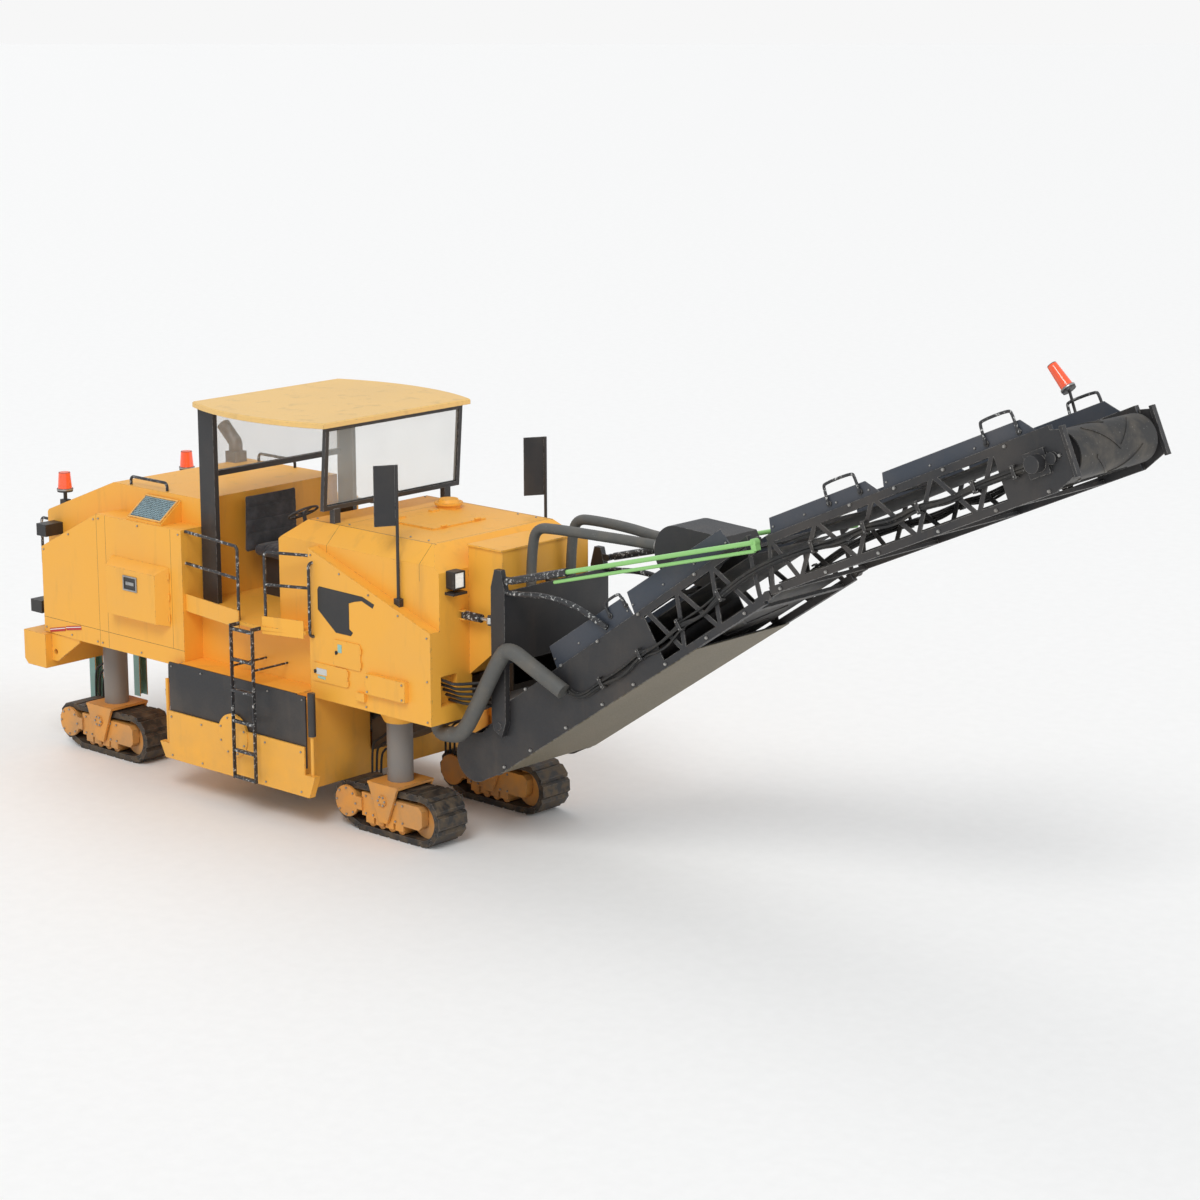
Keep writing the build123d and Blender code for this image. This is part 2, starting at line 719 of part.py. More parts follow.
with BuildPart() as canopy_roof:
    with BuildSketch(Plane.XY.offset(CANOPY_UNDER)):
        with BuildLine():
            Line((CANOPY_REAR[0], -CANOPY_REAR[1]), CANOPY_REAR)
            ThreePointArc(CANOPY_REAR, CANOPY_BOW, CANOPY_FRONT)
            Line(CANOPY_FRONT, (CANOPY_FRONT[0], -CANOPY_FRONT[1]))
            ThreePointArc(
                (CANOPY_FRONT[0], -CANOPY_FRONT[1]),
                (CANOPY_BOW[0], -CANOPY_BOW[1]),
                (CANOPY_REAR[0], -CANOPY_REAR[1]),
            )
        make_face()
    extrude(amount=CANOPY_THICK)
    chamfer(canopy_roof.faces().sort_by(Axis.Z)[-1].edges(), 14)
save(canopy_roof, "canopy_roof")


def screen_x(z):
    """X of the raked windscreen's middle at height z."""
    share = (z - SCREEN_LOW_Z) / (CANOPY_UNDER - SCREEN_LOW_Z)
    return SCREEN_LOW_X + share * (SCREEN_TOP_X - SCREEN_LOW_X)


def screen_strip(z_low, z_high, half):
    """Side profile of the windscreen's plane between two heights."""
    return [
        (screen_x(z_low) - half, z_low),
        (screen_x(z_high) - half, z_high),
        (screen_x(z_high) + half, z_high),
        (screen_x(z_low) + half, z_low),
    ]


REAR_BAR_Z = 3560
with BuildPart() as canopy_frame:
    for hand in (1, -1):
        with BuildSketch(Plane.XY.offset(FLOOR_TOP)):
            with Locations(((COLUMN_X[0] + COLUMN_X[1]) / 2, hand * (COLUMN_OUT - COLUMN_THICK / 2))):
                Rectangle(COLUMN_X[1] - COLUMN_X[0], COLUMN_THICK)
        extrude(amount=CANOPY_UNDER - FLOOR_TOP)
    # cross bar between the columns
    with BuildSketch(side()):
        with Locations((COLUMN_X[0] + 30, REAR_BAR_Z)):
            Rectangle(60, 60)
    extrude(amount=COLUMN_OUT - COLUMN_THICK, both=True)
    # windscreen posts, foot bar and head bar
    for low in (-SCREEN_HALF - POST / 2, SCREEN_HALF - POST / 2):
        with BuildSketch(side(low)):
            Polygon(*screen_strip(SCREEN_LOW_Z, CANOPY_UNDER, POST / 2), align=None)
        extrude(amount=POST)
    for low, high in ((SCREEN_LOW_Z, SCREEN_LOW_Z + 50), (CANOPY_UNDER - 40, CANOPY_UNDER)):
        with BuildSketch(side()):
            Polygon(*screen_strip(low, high, POST / 2), align=None)
        extrude(amount=SCREEN_HALF, both=True)
    # feet of the posts on the deck
    for hand in (1, -1):
        with BuildSketch(Plane.XY.offset(HOOD_TOP)):
            with Locations((SCREEN_LOW_X, hand * (HOOD_TOP_HALF - 60))):
                Rectangle(70, 90)
        extrude(amount=SCREEN_LOW_Z - HOOD_TOP + 10)
save(canopy_frame, "canopy_frame")

GLASS_THICK = 10
GLASS_GAP = 0.3
with BuildPart() as glass:
    with BuildSketch(side()):
        Polygon(*screen_strip(SCREEN_LOW_Z + 50 + GLASS_GAP, CANOPY_UNDER - 40 - GLASS_GAP, GLASS_THICK / 2), align=None)
    extrude(amount=SCREEN_HALF - POST / 2 - GLASS_GAP, both=True)
    with BuildSketch(side()):
        with Locations((COLUMN_X[0] + 30, (REAR_BAR_Z + 30 + CANOPY_UNDER) / 2)):
            Rectangle(GLASS_THICK, CANOPY_UNDER - REAR_BAR_Z - 30 - 2 * GLASS_GAP)
    extrude(amount=COLUMN_OUT - COLUMN_THICK - GLASS_GAP, both=True)
save(glass, "glass")

# Seat, consoles and steering wheels on the platform
SEAT_X = -3990
SEAT_Y = -160
SEAT_HALF = 400
with BuildPart() as seat:
    with BuildSketch(Plane.XY.offset(FLOOR_TOP + 450)):
        with Locations((-3620, SEAT_Y)):
            RectangleRounded(540, 2 * SEAT_HALF - 60, 60)
    extrude(amount=140)
    with BuildSketch(side(-SEAT_Y - SEAT_HALF)):
        Polygon((-3990, 2610), (-3890, 2610), (-3890, 2740), (-3905, 3300), (-3960, 3300), align=None)
    extrude(amount=2 * SEAT_HALF)
save(seat, "seat")
# front console behind the deck
console_profile = [
    (HOOD_REAR, FLOOR_TOP),
    (HOOD_REAR, 3040),
    (HOOD_REAR - 60, 3010),
    (HOOD_REAR - 60, FLOOR_TOP),
]
with BuildPart() as consoles:
    with BuildSketch(side()):
        Polygon(*console_profile, align=None)
    extrude(amount=HOOD_TOP_HALF, both=True)
    # base of the seat
    with BuildSketch(Plane.XY.offset(FLOOR_TOP)):
        with Locations((-3640, SEAT_Y)):
            Rectangle(440, 420)
    extrude(amount=450)
    # steering wheels on their columns
    column_length = (Vector(-2900 + 10, 0, 3240 - 17) - Vector(HOOD_REAR - 50, 0, 2950)).length
    for y in (-600, 600):
        hub = Plane(origin=(-2900, y, 3240), x_dir=(0, 1, 0), z_dir=(-0.5, 0, 0.87))
        with BuildSketch(Plane(origin=(hub.origin + hub.x_dir * 165), z_dir=hub.x_dir.cross(hub.z_dir))):
            Circle(13)
        revolve(axis=Axis(hub.origin, hub.z_dir))
        with BuildSketch(hub.offset(-30)):
            Circle(32)
        extrude(amount=40)
        with BuildSketch(hub.offset(-8)):
            Rectangle(330, 34)
            Rectangle(34, 330)
        extrude(amount=12)
        with BuildSketch(Plane(origin=(HOOD_REAR - 50, y, 2950), z_dir=hub.offset(-20).origin - Vector(HOOD_REAR - 50, y, 2950))):
            Circle(22)
        extrude(amount=column_length)
save(consoles, "consoles")

# Inner conveyor that lifts the millings from the housing to the front, and its head
INNER_HALF = 400
INNER_HIGH = 340
INNER_RISE = 0.488
INNER_REAR = HOUSING_FRONT
INNER_FRONT = 60


def inner_low(x):
    return 1365 + INNER_RISE * (x + 686)


with BuildPart() as inner_conveyor:
    with BuildSketch(side()):
        Polygon(
            (INNER_REAR, inner_low(INNER_REAR)),
            (INNER_REAR, inner_low(INNER_REAR) + INNER_HIGH),
            (INNER_FRONT, inner_low(INNER_FRONT) + INNER_HIGH),
            (INNER_FRONT, inner_low(INNER_FRONT)),
            align=None,
        )
    extrude(amount=INNER_HALF, both=True)
    with BuildSketch(side()):
        Polygon(
            (INNER_REAR - 10, inner_low(INNER_REAR - 10) + 60),
            (INNER_REAR - 10, inner_low(INNER_REAR - 10) + INNER_HIGH - 20),
            (INNER_FRONT + 10, inner_low(INNER_FRONT + 10) + INNER_HIGH - 20),
            (INNER_FRONT + 10, inner_low(INNER_FRONT + 10) + 60),
            align=None,
        )
    extrude(amount=INNER_HALF - 12, both=True, mode=Mode.SUBTRACT)
save(inner_conveyor, "inner_conveyor")

# Slewing frame: two posts and a panel, with ears on the pins of the front box
POST_IN = CONV_HALF + RUN
POST_OUT = 782
PANEL_REAR = 302
PANEL_FRONT = 315
PIN_R = 26
BOLT_R = 15
LIFT_PIN_R = 40
LIFT_EYE = (352, 2994)
LIFT_LINE_Y = 762
CYL_Y = 775
CYL_Z = 2541
CYL_REAR = -300
CYL_EYE = 75
ear_levels = (2400, 2820)
post_profile = [
    (262, 1340),
    (150, 1400),
    (121, 1500),
    (121, 2900),
    (175, 3094),
    (262, 3094),
    (315, 2900),
    (315, 1500),
]
with BuildPart() as slewing_frame:
    for low in (-POST_OUT, POST_IN):
        with BuildSketch(side(low)):
            Polygon(*post_profile, align=None)
            with Locations((LIFT_X, LIFT_Z)):
                Circle(LIFT_PIN_R + SEAT, mode=Mode.SUBTRACT)
        extrude(amount=POST_OUT - POST_IN)
    with BuildSketch(Plane.YZ.offset(PANEL_REAR)):
        Polygon((-POST_IN, 2130), (-POST_IN, 2880), (POST_IN, 2880), (POST_IN, 2130), align=None)
    extrude(amount=PANEL_FRONT - PANEL_REAR)
    # shelf that the dust hoses stand on
    with BuildSketch(Plane.XY.offset(2118)):
        with Locations(((160 + PANEL_FRONT) / 2, 0)):
            Rectangle(PANEL_FRONT - 160, 2 * POST_IN)
    extrude(amount=12)
    for level in ear_levels:
        for low in (-60, 30):
            with BuildSketch(Plane.XY.offset(level + low)):
                with Locations(((SLEW_X + PANEL_REAR) / 2, 0)):
                    Rectangle(PANEL_REAR - SLEW_X, 110)
                with Locations((SLEW_X, 0)):
                    Circle(55)
            extrude(amount=30)
        with BuildSketch(Plane.XY.offset(level - 60)):
            with Locations((SLEW_X, 0)):
                Circle(PIN_R)
        extrude(amount=120)
    for hand in (1, -1):
        # pin and lug of the slewing cylinder's rod
        for low in (-52, 34):
            with BuildSketch(Plane.XY.offset(CYL_Z + low)):
                with Locations(((CYL_EYE + 122) / 2, hand * (POST_OUT + POST_IN) / 2)):
                    Rectangle(122 - CYL_EYE, 50)
                with Locations((CYL_EYE, hand * (POST_OUT + POST_IN) / 2)):
                    Circle(25)
            extrude(amount=18)
        with BuildSketch(Plane.XY.offset(CYL_Z - 52)):
            with Locations((CYL_EYE, hand * (POST_OUT + POST_IN) / 2)):
                Circle(12)
        extrude(amount=104)
        # lug and pin of the lifting cylinder's barrel
        with BuildSketch(side(-hand * (POST_IN + 4))):
            Polygon((270, 2960), (270, 3028), (352, 3028), (352, 2960), align=None)
            with Locations(LIFT_EYE):
                Circle(34)
        extrude(amount=-hand * 14)
        with BuildSketch(side(-hand * (POST_IN + 4))):
            with Locations(LIFT_EYE):
                Circle(BOLT_R)
        extrude(amount=-hand * 76)
save(slewing_frame, "slewing_frame")

with BuildPart() as slew_lugs:
    for level in ear_levels:
        with BuildSketch(Plane.XY.offset(level - 29.5)):
            with Locations(((BOX_FRONT + SLEW_X) / 2, 0)):
                Rectangle(SLEW_X - BOX_FRONT, 120)
            with Locations((SLEW_X, 0)):
                Circle(60)
                Circle(PIN_R + SEAT, mode=Mode.SUBTRACT)
        extrude(amount=59)
    # forks of the slewing cylinders' barrels on the hood's front
    for hand in (1, -1):
        for low in (-52, 34):
            with BuildSketch(Plane.XY.offset(CYL_Z + low)):
                with Locations(((HOOD_FRONT + CYL_REAR) / 2, hand * (POST_OUT + POST_IN) / 2)):
                    Rectangle(CYL_REAR - HOOD_FRONT, 60)
                with Locations((CYL_REAR, hand * (POST_OUT + POST_IN) / 2)):
                    Circle(28)
            extrude(amount=18)
        with BuildSketch(Plane.XY.offset(CYL_Z - 52)):
            with Locations((CYL_REAR, hand * (POST_OUT + POST_IN) / 2)):
                Circle(BOLT_R)
        extrude(amount=104)

with BuildPart() as front_whole:
    add(front_body.part)
    add(collars["front"])
    add(slew_lugs.part)
save(front_whole, "front_body")

# Slewing cylinders: a barrel hinged on the hood, and a rod whose eye is on the post's pin
SLEW_BARREL_R = 45
SLEW_ROD_R = 20
SLEW_BARREL = (-268, -46)
SLEW_BORE = 212
SLEW_TIP = -174
EYE_PLAY = 12
for hand_name, hand in (("left", 1), ("right", -1)):
    line_y = hand * (POST_OUT + POST_IN) / 2
    with BuildPart() as slew_barrel:
        with BuildSketch(Plane.XY.offset(CYL_Z - 33)):
            with Locations((CYL_REAR, line_y)):
                Circle(28)
                Circle(BOLT_R + SEAT, mode=Mode.SUBTRACT)
        extrude(amount=66)
        with BuildSketch(Plane.YZ.offset(SLEW_BARREL[0] - 8)):
            with Locations((line_y, CYL_Z)):
                Circle(26)
        extrude(amount=20)
        with BuildSketch(Plane.YZ.offset(SLEW_BARREL[0])):
            with Locations((line_y, CYL_Z)):
                Circle(SLEW_BARREL_R)
        extrude(amount=SLEW_BARREL[1] - SLEW_BARREL[0])
        with BuildSketch(Plane.YZ.offset(SLEW_BARREL[1])):
            with Locations((line_y, CYL_Z)):
                Circle(SLEW_ROD_R + SEAT)
        extrude(amount=-SLEW_BORE, mode=Mode.SUBTRACT)
    save(slew_barrel, f"slew_barrel_{hand_name}")
    with BuildPart() as slew_rod:
        with BuildSketch(Plane.XY.offset(CYL_Z - 33)):
            with Locations((CYL_EYE, line_y)):
                Circle(36)
        extrude(amount=66)
        with BuildSketch(Plane.YZ.offset(SLEW_TIP)):
            with Locations((line_y, CYL_Z)):
                Circle(SLEW_ROD_R)
        extrude(amount=CYL_EYE - 30 - SLEW_TIP)
        with BuildSketch(Plane.XY.offset(CYL_Z - 34)):
            with Locations((CYL_EYE, line_y)):
                Circle(12 + EYE_PLAY)
        extrude(amount=68, mode=Mode.SUBTRACT)
    save(slew_rod, f"slew_rod_{hand_name}")

# Discharge conveyor, drawn along the slope of each section
low_angle = radians(LOW_SLOPE)
up_angle = radians(UP_SLOPE)


def low_side(y=0):
    """Side plane of the lower section: x runs up its lower chord, y is square to it."""
    return Plane(origin=(LOW_FOOT[0], -y, LOW_FOOT[1]), x_dir=(cos(low_angle), 0, sin(low_angle)), z_dir=(0, -1, 0))


def up_side(y=0):
    """Side plane of the upper section."""
    return Plane(origin=(UP_FOOT[0], -y, UP_FOOT[1]), x_dir=(cos(up_angle), 0, sin(up_angle)), z_dir=(0, -1, 0))


def bar(start, end, width):
    """Outline of a straight bar between two points."""
    along = Vector(end[0] - start[0], end[1] - start[1]).normalized()
    across = Vector(-along.Y, along.X) * (width / 2)
    a = Vector(*start)
    b = Vector(*end)
    return [tuple(p)[:2] for p in (a + across, b + across, b - across, a - across)]


CHORD = 75
CHORD_DEEP = 60
SHEET = 12
BELT_THICK = 12
SKIRT_Y = CONV_HALF - CHORD_DEEP + 4
TAIL = (-201, 295)
TAIL_BELT_R = 240
LOW_END = 4270
LOW_TOP_END = 4430
PIVOT = (3690, 3352)
PIVOT_R = 45
PIVOT_PIN_R = 18
LUG_Y = 690
low_top = [(560, 512), (560, 587), (LOW_TOP_END, 655), (LOW_TOP_END - 20, 580)]
low_plate = [(60, 0), (2800, 0), (2800, 562), (560, 540), (60, 470)]
low_truss = [
    # from along, square, to along, square
    (2860, 580, 3100, 40),
    (3100, 40, 3330, 600),
    (3330, 600, 3640, 40),
    (3640, 40, 3860, 600),
    (3860, 600, 4130, 40),
    (4240, 40, 4400, 610),
]
low_cross = ((140, 20), (1200, 20), (2300, 20), (3100, 20), (4100, 20), (1600, 560), (3115, 600), (4100, 610))
low_skirts = ((2660, 4160, 861), (1380, 2640, 843))


def low_chord_top(u):
    """Height of the lower section's upper chord above its lower chord's underside."""
    return 587 + (u - 560) * 68 / (LOW_TOP_END - 560)


with BuildPart() as lower_frame:
    with BuildSketch(low_side(CONV_HALF - CHORD_DEEP)):
        Polygon((0, 0), (0, CHORD), (LOW_END, CHORD), (LOW_END, 0), align=None)
        Polygon(*low_top, align=None)
    extrude(amount=CHORD_DEEP)
    with BuildSketch(low_side(CONV_HALF - SHEET)):
        Polygon(*low_plate, align=None)
        with Locations(TAIL):
            Circle(TAIL_BELT_R + 22)
        Polygon((-201, 33), (60, 0), (60, 470), (-201, 557), align=None)
        for u1, v1, u2, v2 in low_truss:
            Polygon(*bar((u1, v1), (u2, v2), 50), align=None)
    extrude(amount=SHEET)
    # guard plates over the upper chord
    with BuildSketch(low_side(SKIRT_Y)):
        for start, end, top in low_skirts:
            Polygon(
                (start, low_chord_top(start)),
                (start + 30, top),
                (end - 30, top),
                (end, low_chord_top(end)),
                align=None,
            )
    extrude(amount=10)
    # pivot knuckle, outer half
    with BuildSketch(side(LUG_Y)):
        with Locations(PIVOT):
            Circle(PIVOT_R)
        Polygon(*bar(PIVOT, (3560, 3264), 70), align=None)
    extrude(amount=CONV_HALF - LUG_Y)
    with BuildSketch(side(CONV_HALF - CHORD_DEEP)):
        with Locations(PIVOT):
            Circle(PIVOT_PIN_R)
    extrude(amount=CHORD_DEEP)
    # pin that the section is lifted about, with its collar
    with BuildSketch(side(CONV_HALF - SHEET)):
        with Locations((LIFT_X, LIFT_Z)):
            Circle(LIFT_PIN_R)
    extrude(amount=POST_OUT - CONV_HALF + SHEET + 6)
    # bracket of the lifting cylinder's eye
    with BuildSketch(side(CONV_HALF - SHEET)):
        Polygon((3430, 3790), (3560, 3905), (3610, 3905), (3630, 3830), (3500, 3700), align=None)
    extrude(amount=SHEET + 8)
    mirror(about=Plane.XZ)
    for u, v in low_cross:
        with BuildSketch(low_side()):
            with Locations((u, v)):
                Rectangle(70, 36)
        extrude(amount=CONV_HALF - CHORD_DEEP + 4, both=True)
    # tail shaft and pulley
    with BuildSketch(low_side()):
        with Locations(TAIL):
            Circle(60)
    extrude(amount=CONV_HALF - 2, both=True)
    with BuildSketch(low_side()):
        with Locations(TAIL):
            Circle(TAIL_BELT_R - BELT_THICK - SEAT)
    extrude(amount=BELT_HALF - 60, both=True)
    # pan under the belt
    with BuildSketch(low_side()):
        Polygon((80, -8), (3250, -8), (3250, 0), (80, 0), align=None)
    extrude(amount=CONV_HALF - 4, both=True)
save(lower_frame, "lower_frame")


def belt(plane, pulley, belt_r, inward, top_route, low_route):
    """Outline of a belt on one pulley: two strands that end at the section's joint."""
    px, pz = pulley
    with BuildSketch(plane) as outline:
        with BuildLine():
            for radius, shift in ((belt_r, 0), (belt_r - BELT_THICK, BELT_THICK)):
                ThreePointArc((px, pz + radius), (px - inward * radius, pz), (px, pz - radius))
                top = [(px, pz + radius), (px + inward * 60, pz + radius)]
                top += [(x, z - shift) for x, z in top_route]
                low = [(px, pz - radius), (px + inward * 60, pz - radius)]
                low += [(x, z + shift) for x, z in low_route]
                Polyline(*top)
                Polyline(*low)
            Line(top_route[-1], (top_route[-1][0], top_route[-1][1] - BELT_THICK))
            Line(low_route[-1], (low_route[-1][0], low_route[-1][1] + BELT_THICK))
        make_face()
    return outline.sketch


lower_loop = belt(low_side(), TAIL, TAIL_BELT_R, 1, ((700, 500), (4300, 500)), ((700, 84), (4200, 96)))
with BuildPart() as lower_belt:
    extrude(lower_loop, amount=BELT_HALF - 40, both=True)
save(lower_belt, "lower_belt")

# Dust fan over the belt, on a foot across the upper chords
FAN = (2150, 3465)
FAN_R = 275
FAN_SIDE = (-250, 250)
with BuildPart() as dust_fan:
    with BuildSketch(side(FAN_SIDE[0])):
        with Locations(FAN):
            Circle(FAN_R)
        Polygon((FAN[0], FAN[1] + FAN_R), (2770, 3712), (2860, 3560), (2550, 3180), (2200, 3200), align=None)
    extrude(amount=FAN_SIDE[1] - FAN_SIDE[0])
    with BuildSketch(low_side()):
        with Locations((3115, 680)):
            Rectangle(90, 124)
    extrude(amount=120, both=True)
save(dust_fan, "dust_fan")

# Upper section
UP_END = 3700
UP_START = 115
HEAD = (3640, 290)
HEAD_BELT_R = 225
up_top = [(286, 462), (266, 537), (UP_END, 569), (UP_END, 494)]
up_truss = [
    (150, 40, 300, 500),
    (300, 500, 520, 40),
    (520, 40, 900, 500),
    (900, 500, 1250, 40),
    (1250, 40, 1620, 520),
    (1620, 520, 1980, 40),
    (1980, 40, 2340, 520),
    (2340, 520, 2700, 40),
    (2700, 40, 3050, 520),
]
up_cross = ((180, 20), (1100, 20), (2100, 20), (3100, 20), (600, 500), (1800, 510), (3000, 520))
up_skirts = ((1742, 3530, 705), (300, 1690, 690))
head_plate = [(3050, 0), (3560, 0), (3830, 89), (3830, 495), (3560, 560), (3050, 560)]


def up_chord_top(u):
    """Height of the upper section's upper chord above its lower chord's underside."""
    return 537 + (u - 266) * 32 / (UP_END - 266)


BEACON_Y = CONV_HALF + 10
BEACON = (6050, 5394)
beacon_stem = tube([(6180, BEACON_Y, 5050), (6100, BEACON_Y, 5260), (BEACON[0], BEACON_Y, BEACON[1])], 14, 200)
beacon_plane = Plane(origin=(BEACON[0], BEACON_Y, BEACON[1]), z_dir=(-232, 0, 245))
with BuildPart() as upper_frame:
    with BuildSketch(up_side(CONV_HALF - CHORD_DEEP)):
        Polygon((UP_START, 0), (UP_START, CHORD), (3560, CHORD), (3560, 0), align=None)
        Polygon(*up_top, align=None)
    extrude(amount=CHORD_DEEP)
    with BuildSketch(up_side(CONV_HALF - SHEET)):
        for u1, v1, u2, v2 in up_truss:
            Polygon(*bar((u1, v1), (u2, v2), 46), align=None)
        Polygon(*head_plate, align=None)
    extrude(amount=SHEET)
    with BuildSketch(up_side(CONV_HALF - 30)):
        Polygon((3816, 60), (3850, 60), (3850, 525), (3816, 525), align=None)
    extrude(amount=60)
    with BuildSketch(up_side(SKIRT_Y)):
        for start, end, top in up_skirts:
            Polygon(
                (start, up_chord_top(start)),
                (start + 40, top),
                (end - 130, top),
                (end, up_chord_top(end)),
                align=None,
            )
    extrude(amount=10)
    # pivot knuckle, inner half
    with BuildSketch(side(CONV_HALF - CHORD_DEEP + 2)):
        with Locations(PIVOT):
            Circle(PIVOT_R)
        Polygon(*bar(PIVOT, (3800, 3424), 66), align=None)
        with Locations(PIVOT):
            Circle(PIVOT_PIN_R + SEAT, mode=Mode.SUBTRACT)
    extrude(amount=LUG_Y - 6 - (CONV_HALF - CHORD_DEEP + 2))
    # motor of the head pulley
    with BuildSketch(up_side(CONV_HALF)):
        with Locations((3480, 290)):
            Rectangle(230, 230)
    extrude(amount=30)
    with BuildSketch(up_side(CONV_HALF + 30)):
        with Locations((3500, 290)):
            Circle(80)
    extrude(amount=110)
    mirror(about=Plane.XZ)
    for u, v in up_cross:
        with BuildSketch(up_side()):
            with Locations((u, v)):
                Rectangle(70, 36)
        extrude(amount=CONV_HALF - CHORD_DEEP + 4, both=True)
    with BuildSketch(up_side()):
        with Locations(HEAD):
            Circle(55)
    extrude(amount=CONV_HALF + 40, both=True)
    with BuildSketch(up_side()):
        with Locations(HEAD):
            Circle(HEAD_BELT_R - BELT_THICK - SEAT)
    extrude(amount=BELT_HALF - 60, both=True)
    # beacon on the left
    add(beacon_stem)
    with BuildSketch(beacon_plane.offset(-8)):
        Circle(70)
    extrude(amount=40)
    with BuildSketch(beacon_plane.offset(32)):
        Circle(60)
    extrude(amount=260, taper=3)
save(upper_frame, "upper_frame")

upper_loop = belt(up_side(), HEAD, HEAD_BELT_R, -1, ((2900, 470), (340, 430)), ((2900, 84), (160, 84)))
with BuildPart() as upper_belt:
    extrude(upper_loop, amount=BELT_HALF - 40, both=True)
save(upper_belt, "upper_belt")

# Lifting cylinders from the posts to the lower section's upper end
LIFT_FAR = (3582, 3860)
LIFT_BARREL_R = 40
LIFT_ROD_R = 24
LIFT_BARREL = (60, 862)
LIFT_BORE = 760
LIFT_TIP = 500
lift_run = Vector(LIFT_FAR[0] - LIFT_EYE[0], 0, LIFT_FAR[1] - LIFT_EYE[1])
lift_dir = lift_run.normalized()


def lift_plane(distance, y):
    """Plane square to the lifting cylinder at a distance from its lower eye."""
    origin = Vector(LIFT_EYE[0], y, LIFT_EYE[1]) + lift_dir * distance
    return Plane(origin=origin, x_dir=(0, 1, 0), z_dir=lift_dir)


EYE_Y = 734
LINE_Y = 776
with BuildPart() as lift_barrels:
    for hand in (1, -1):
        with BuildSketch(side(-hand * (EYE_Y + 2))):
            with Locations(LIFT_EYE):
                Circle(34)
            Polygon(*bar(LIFT_EYE, (LIFT_EYE[0] + lift_dir.X * 70, LIFT_EYE[1] + lift_dir.Z * 70), 50), align=None)
            with Locations(LIFT_EYE):
                Circle(BOLT_R + SEAT, mode=Mode.SUBTRACT)
        extrude(amount=-hand * 56)
        with BuildSketch(lift_plane(LIFT_BARREL[0], hand * LINE_Y)):
            Circle(LIFT_BARREL_R)
        extrude(amount=LIFT_BARREL[1] - LIFT_BARREL[0])
        with BuildSketch(lift_plane(LIFT_BARREL[1], hand * LINE_Y)):
            Circle(LIFT_ROD_R + SEAT)
        extrude(amount=-LIFT_BORE, mode=Mode.SUBTRACT)
save(lift_barrels, "lift_barrels")

with BuildPart() as lift_rods:
    for hand in (1, -1):
        with BuildSketch(lift_plane(LIFT_TIP, hand * LINE_Y)):
            Circle(LIFT_ROD_R)
        extrude(amount=lift_run.length - LIFT_TIP)
        with BuildSketch(lift_plane(LIFT_BARREL[1] - 200, hand * LINE_Y)):
            with Locations((0, -80)):
                Circle(LIFT_ROD_R - 6)
        extrude(amount=lift_run.length - LIFT_BARREL[1] + 200)
        with BuildSketch(side(-hand * (EYE_Y - 12))):
            with Locations(LIFT_FAR):
                Circle(38)
            Polygon(*bar(LIFT_FAR, (LIFT_FAR[0] + 22, LIFT_FAR[1] - 78), 60), align=None)
        extrude(amount=-hand * 70)
save(lift_rods, "lift_rods")

# Handrails on the platform and the bodies, all of round tube
RAIL_R = 17
rail_routes = []
for hand in (1, -1):
    for level in (2605, 2960):
        front_run = [(POD_REAR, hand * 1190, level), (POD_REAR - 45, hand * 1190, level), (-2665, hand * 1380, level)]
        rear_run = [
            (REAR_FRONT, hand * 1260, level),
            (REAR_FRONT + 45, hand * 1260, level),
            (-3085, hand * 1395, level),
        ]
        if level > 2900:
            front_run.append((-2665, hand * 1380, FLOOR_TOP))
            rear_run.append((-3085, hand * 1395, FLOOR_TOP))
        rail_routes += [front_run, rear_run]
    rail_routes.append(
        [
            (-2100, hand * POD_HALF, 2900),
            (-2100, hand * 1262, 2900),
            (-2100, hand * 1262, 2100),
            (-2100, hand * POD_HALF, 2100),
        ]
    )
    rail_routes.append([(-5400, hand * 950, 3274), (-5400, hand * 950, 3370), (-4768, hand * 950, 3370), (-4768, hand * 950, 3278)])
    rail_routes.append(
        [
            (REAR_END, hand * 970, 2673),
            (-7060, hand * 970, 2673),
            (-7060, hand * 970, 2093),
            (REAR_END, hand * 970, 2093),
        ]
    )


rail_tubes = [tube(route, RAIL_R) for route in rail_routes]
with BuildPart() as handrails:
    for piece in rail_tubes:
        add(piece)
    # the hood slopes by a few millimetres under the feet of its handrails
    with BuildSketch(side()):
        Polygon(*rear_profile, align=None)
    extrude(amount=REAR_HALF, both=True, mode=Mode.SUBTRACT)
save(handrails, "handrails")

